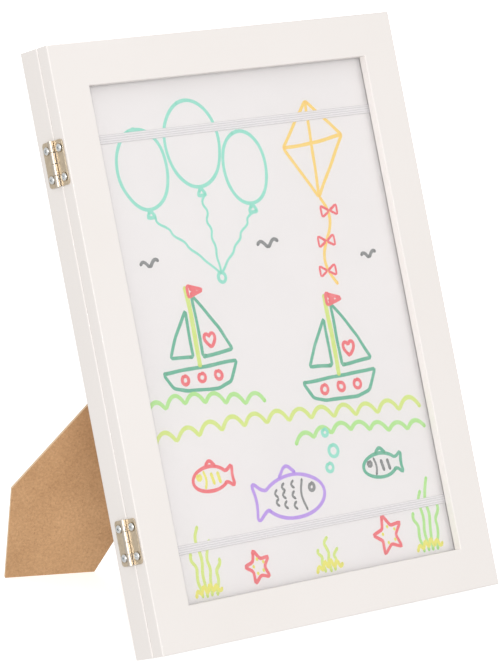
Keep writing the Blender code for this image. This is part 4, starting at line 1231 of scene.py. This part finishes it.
# Nodes drawn in their own shape

def finish_nodes():
    """Give every node its material, and break the edges of those that have a round."""
    slots = {row["node"]: row["material_slot"] for row in frame["record"]["subparts"]}
    for node, piece in frame["nodes"].items():
        look = "panel" if node == "back_panel" else slots[node]
        if node in EDGE_ROUNDS:
            add_softened(node, look, slots[node])
        for material_slot in piece.material_slots:
            material_slot.material = LOOKS[look]


# Studio

def add_lamp(name, place, size, power):
    """Add one soft square lamp, pointed at the frame."""
    light = bpy.data.lights.new(name, "AREA")
    light.shape = "SQUARE"
    light.size = size
    light.energy = power
    lamp = bpy.data.objects.new(name, light)
    bpy.context.scene.collection.objects.link(lamp)
    aim = (Vector(LAMP_AIM) - Vector(place)).to_track_quat("-Z", "Y").to_matrix().to_4x4()
    lamp.matrix_world = Matrix.Translation(place) @ aim


def build_floor():
    """Build the pale table under the frame."""
    half = FLOOR_SIZE / 2
    corners = ((-half, -half), (half, -half), (half, half), (-half, half))
    bm = bmesh.new()
    bm.faces.new([bm.verts.new((x, y, 0)) for x, y in corners])
    floor = bpy.data.objects.new("floor", to_mesh(bm, "floor"))
    floor.data.materials.append(floor_look())
    bpy.context.scene.collection.objects.link(floor)
    floor.visible_diffuse = False
    floor.visible_glossy = False


def build_world():
    """Light the frame from all round, in front of a white backdrop that only the camera sees."""
    world = bpy.data.worlds.new("studio")
    bpy.context.scene.world = world
    world.use_nodes = True
    tree = world.node_tree
    around = tree.nodes["Background"]
    around.inputs["Color"].default_value = (*WORLD_COLOUR, 1)
    around.inputs["Strength"].default_value = WORLD_STRENGTH
    backdrop = tree.nodes.new("ShaderNodeBackground")
    backdrop.inputs["Color"].default_value = (*BACKDROP_COLOUR, 1)
    seen = tree.nodes.new("ShaderNodeLightPath").outputs["Is Camera Ray"]
    mix = tree.nodes.new("ShaderNodeMixShader")
    tree.links.new(seen, mix.inputs[0])
    tree.links.new(around.outputs[0], mix.inputs[1])
    tree.links.new(backdrop.outputs[0], mix.inputs[2])
    tree.links.new(mix.outputs[0], tree.nodes["World Output"].inputs["Surface"])


def build_studio():
    """Build the floor, the lamps and the world round the frame."""
    build_floor()
    for name, (place, size, power) in LAMPS.items():
        add_lamp(name, place, size, power)
    build_world()
    bpy.context.scene.view_settings.view_transform = "Standard"


def add_camera():
    """Stand the camera where the photograph was taken from."""
    data = bpy.data.cameras.new("camera")
    data.sensor_width = CAMERA_SENSOR
    data.lens = CAMERA_LENS
    data.clip_end = CAMERA_REACH
    camera = bpy.data.objects.new("camera", data)
    bpy.context.scene.collection.objects.link(camera)
    turn = Matrix.Rotation(-CAMERA_YAW, 4, "Z") @ Matrix.Rotation(math.pi / 2 - CAMERA_PITCH, 4, "X")
    camera.matrix_world = Matrix.Translation(CAMERA_PLACE) @ turn @ Matrix.Rotation(CAMERA_ROLL, 4, "Z")
    bpy.context.scene.camera = camera


# Build the frame, its studio and the camera


build_door_frame()
build_box_frame()
build_stack()
build_straps()
build_hinges()
build_drawing()
finish_nodes()
build_studio()
add_camera()
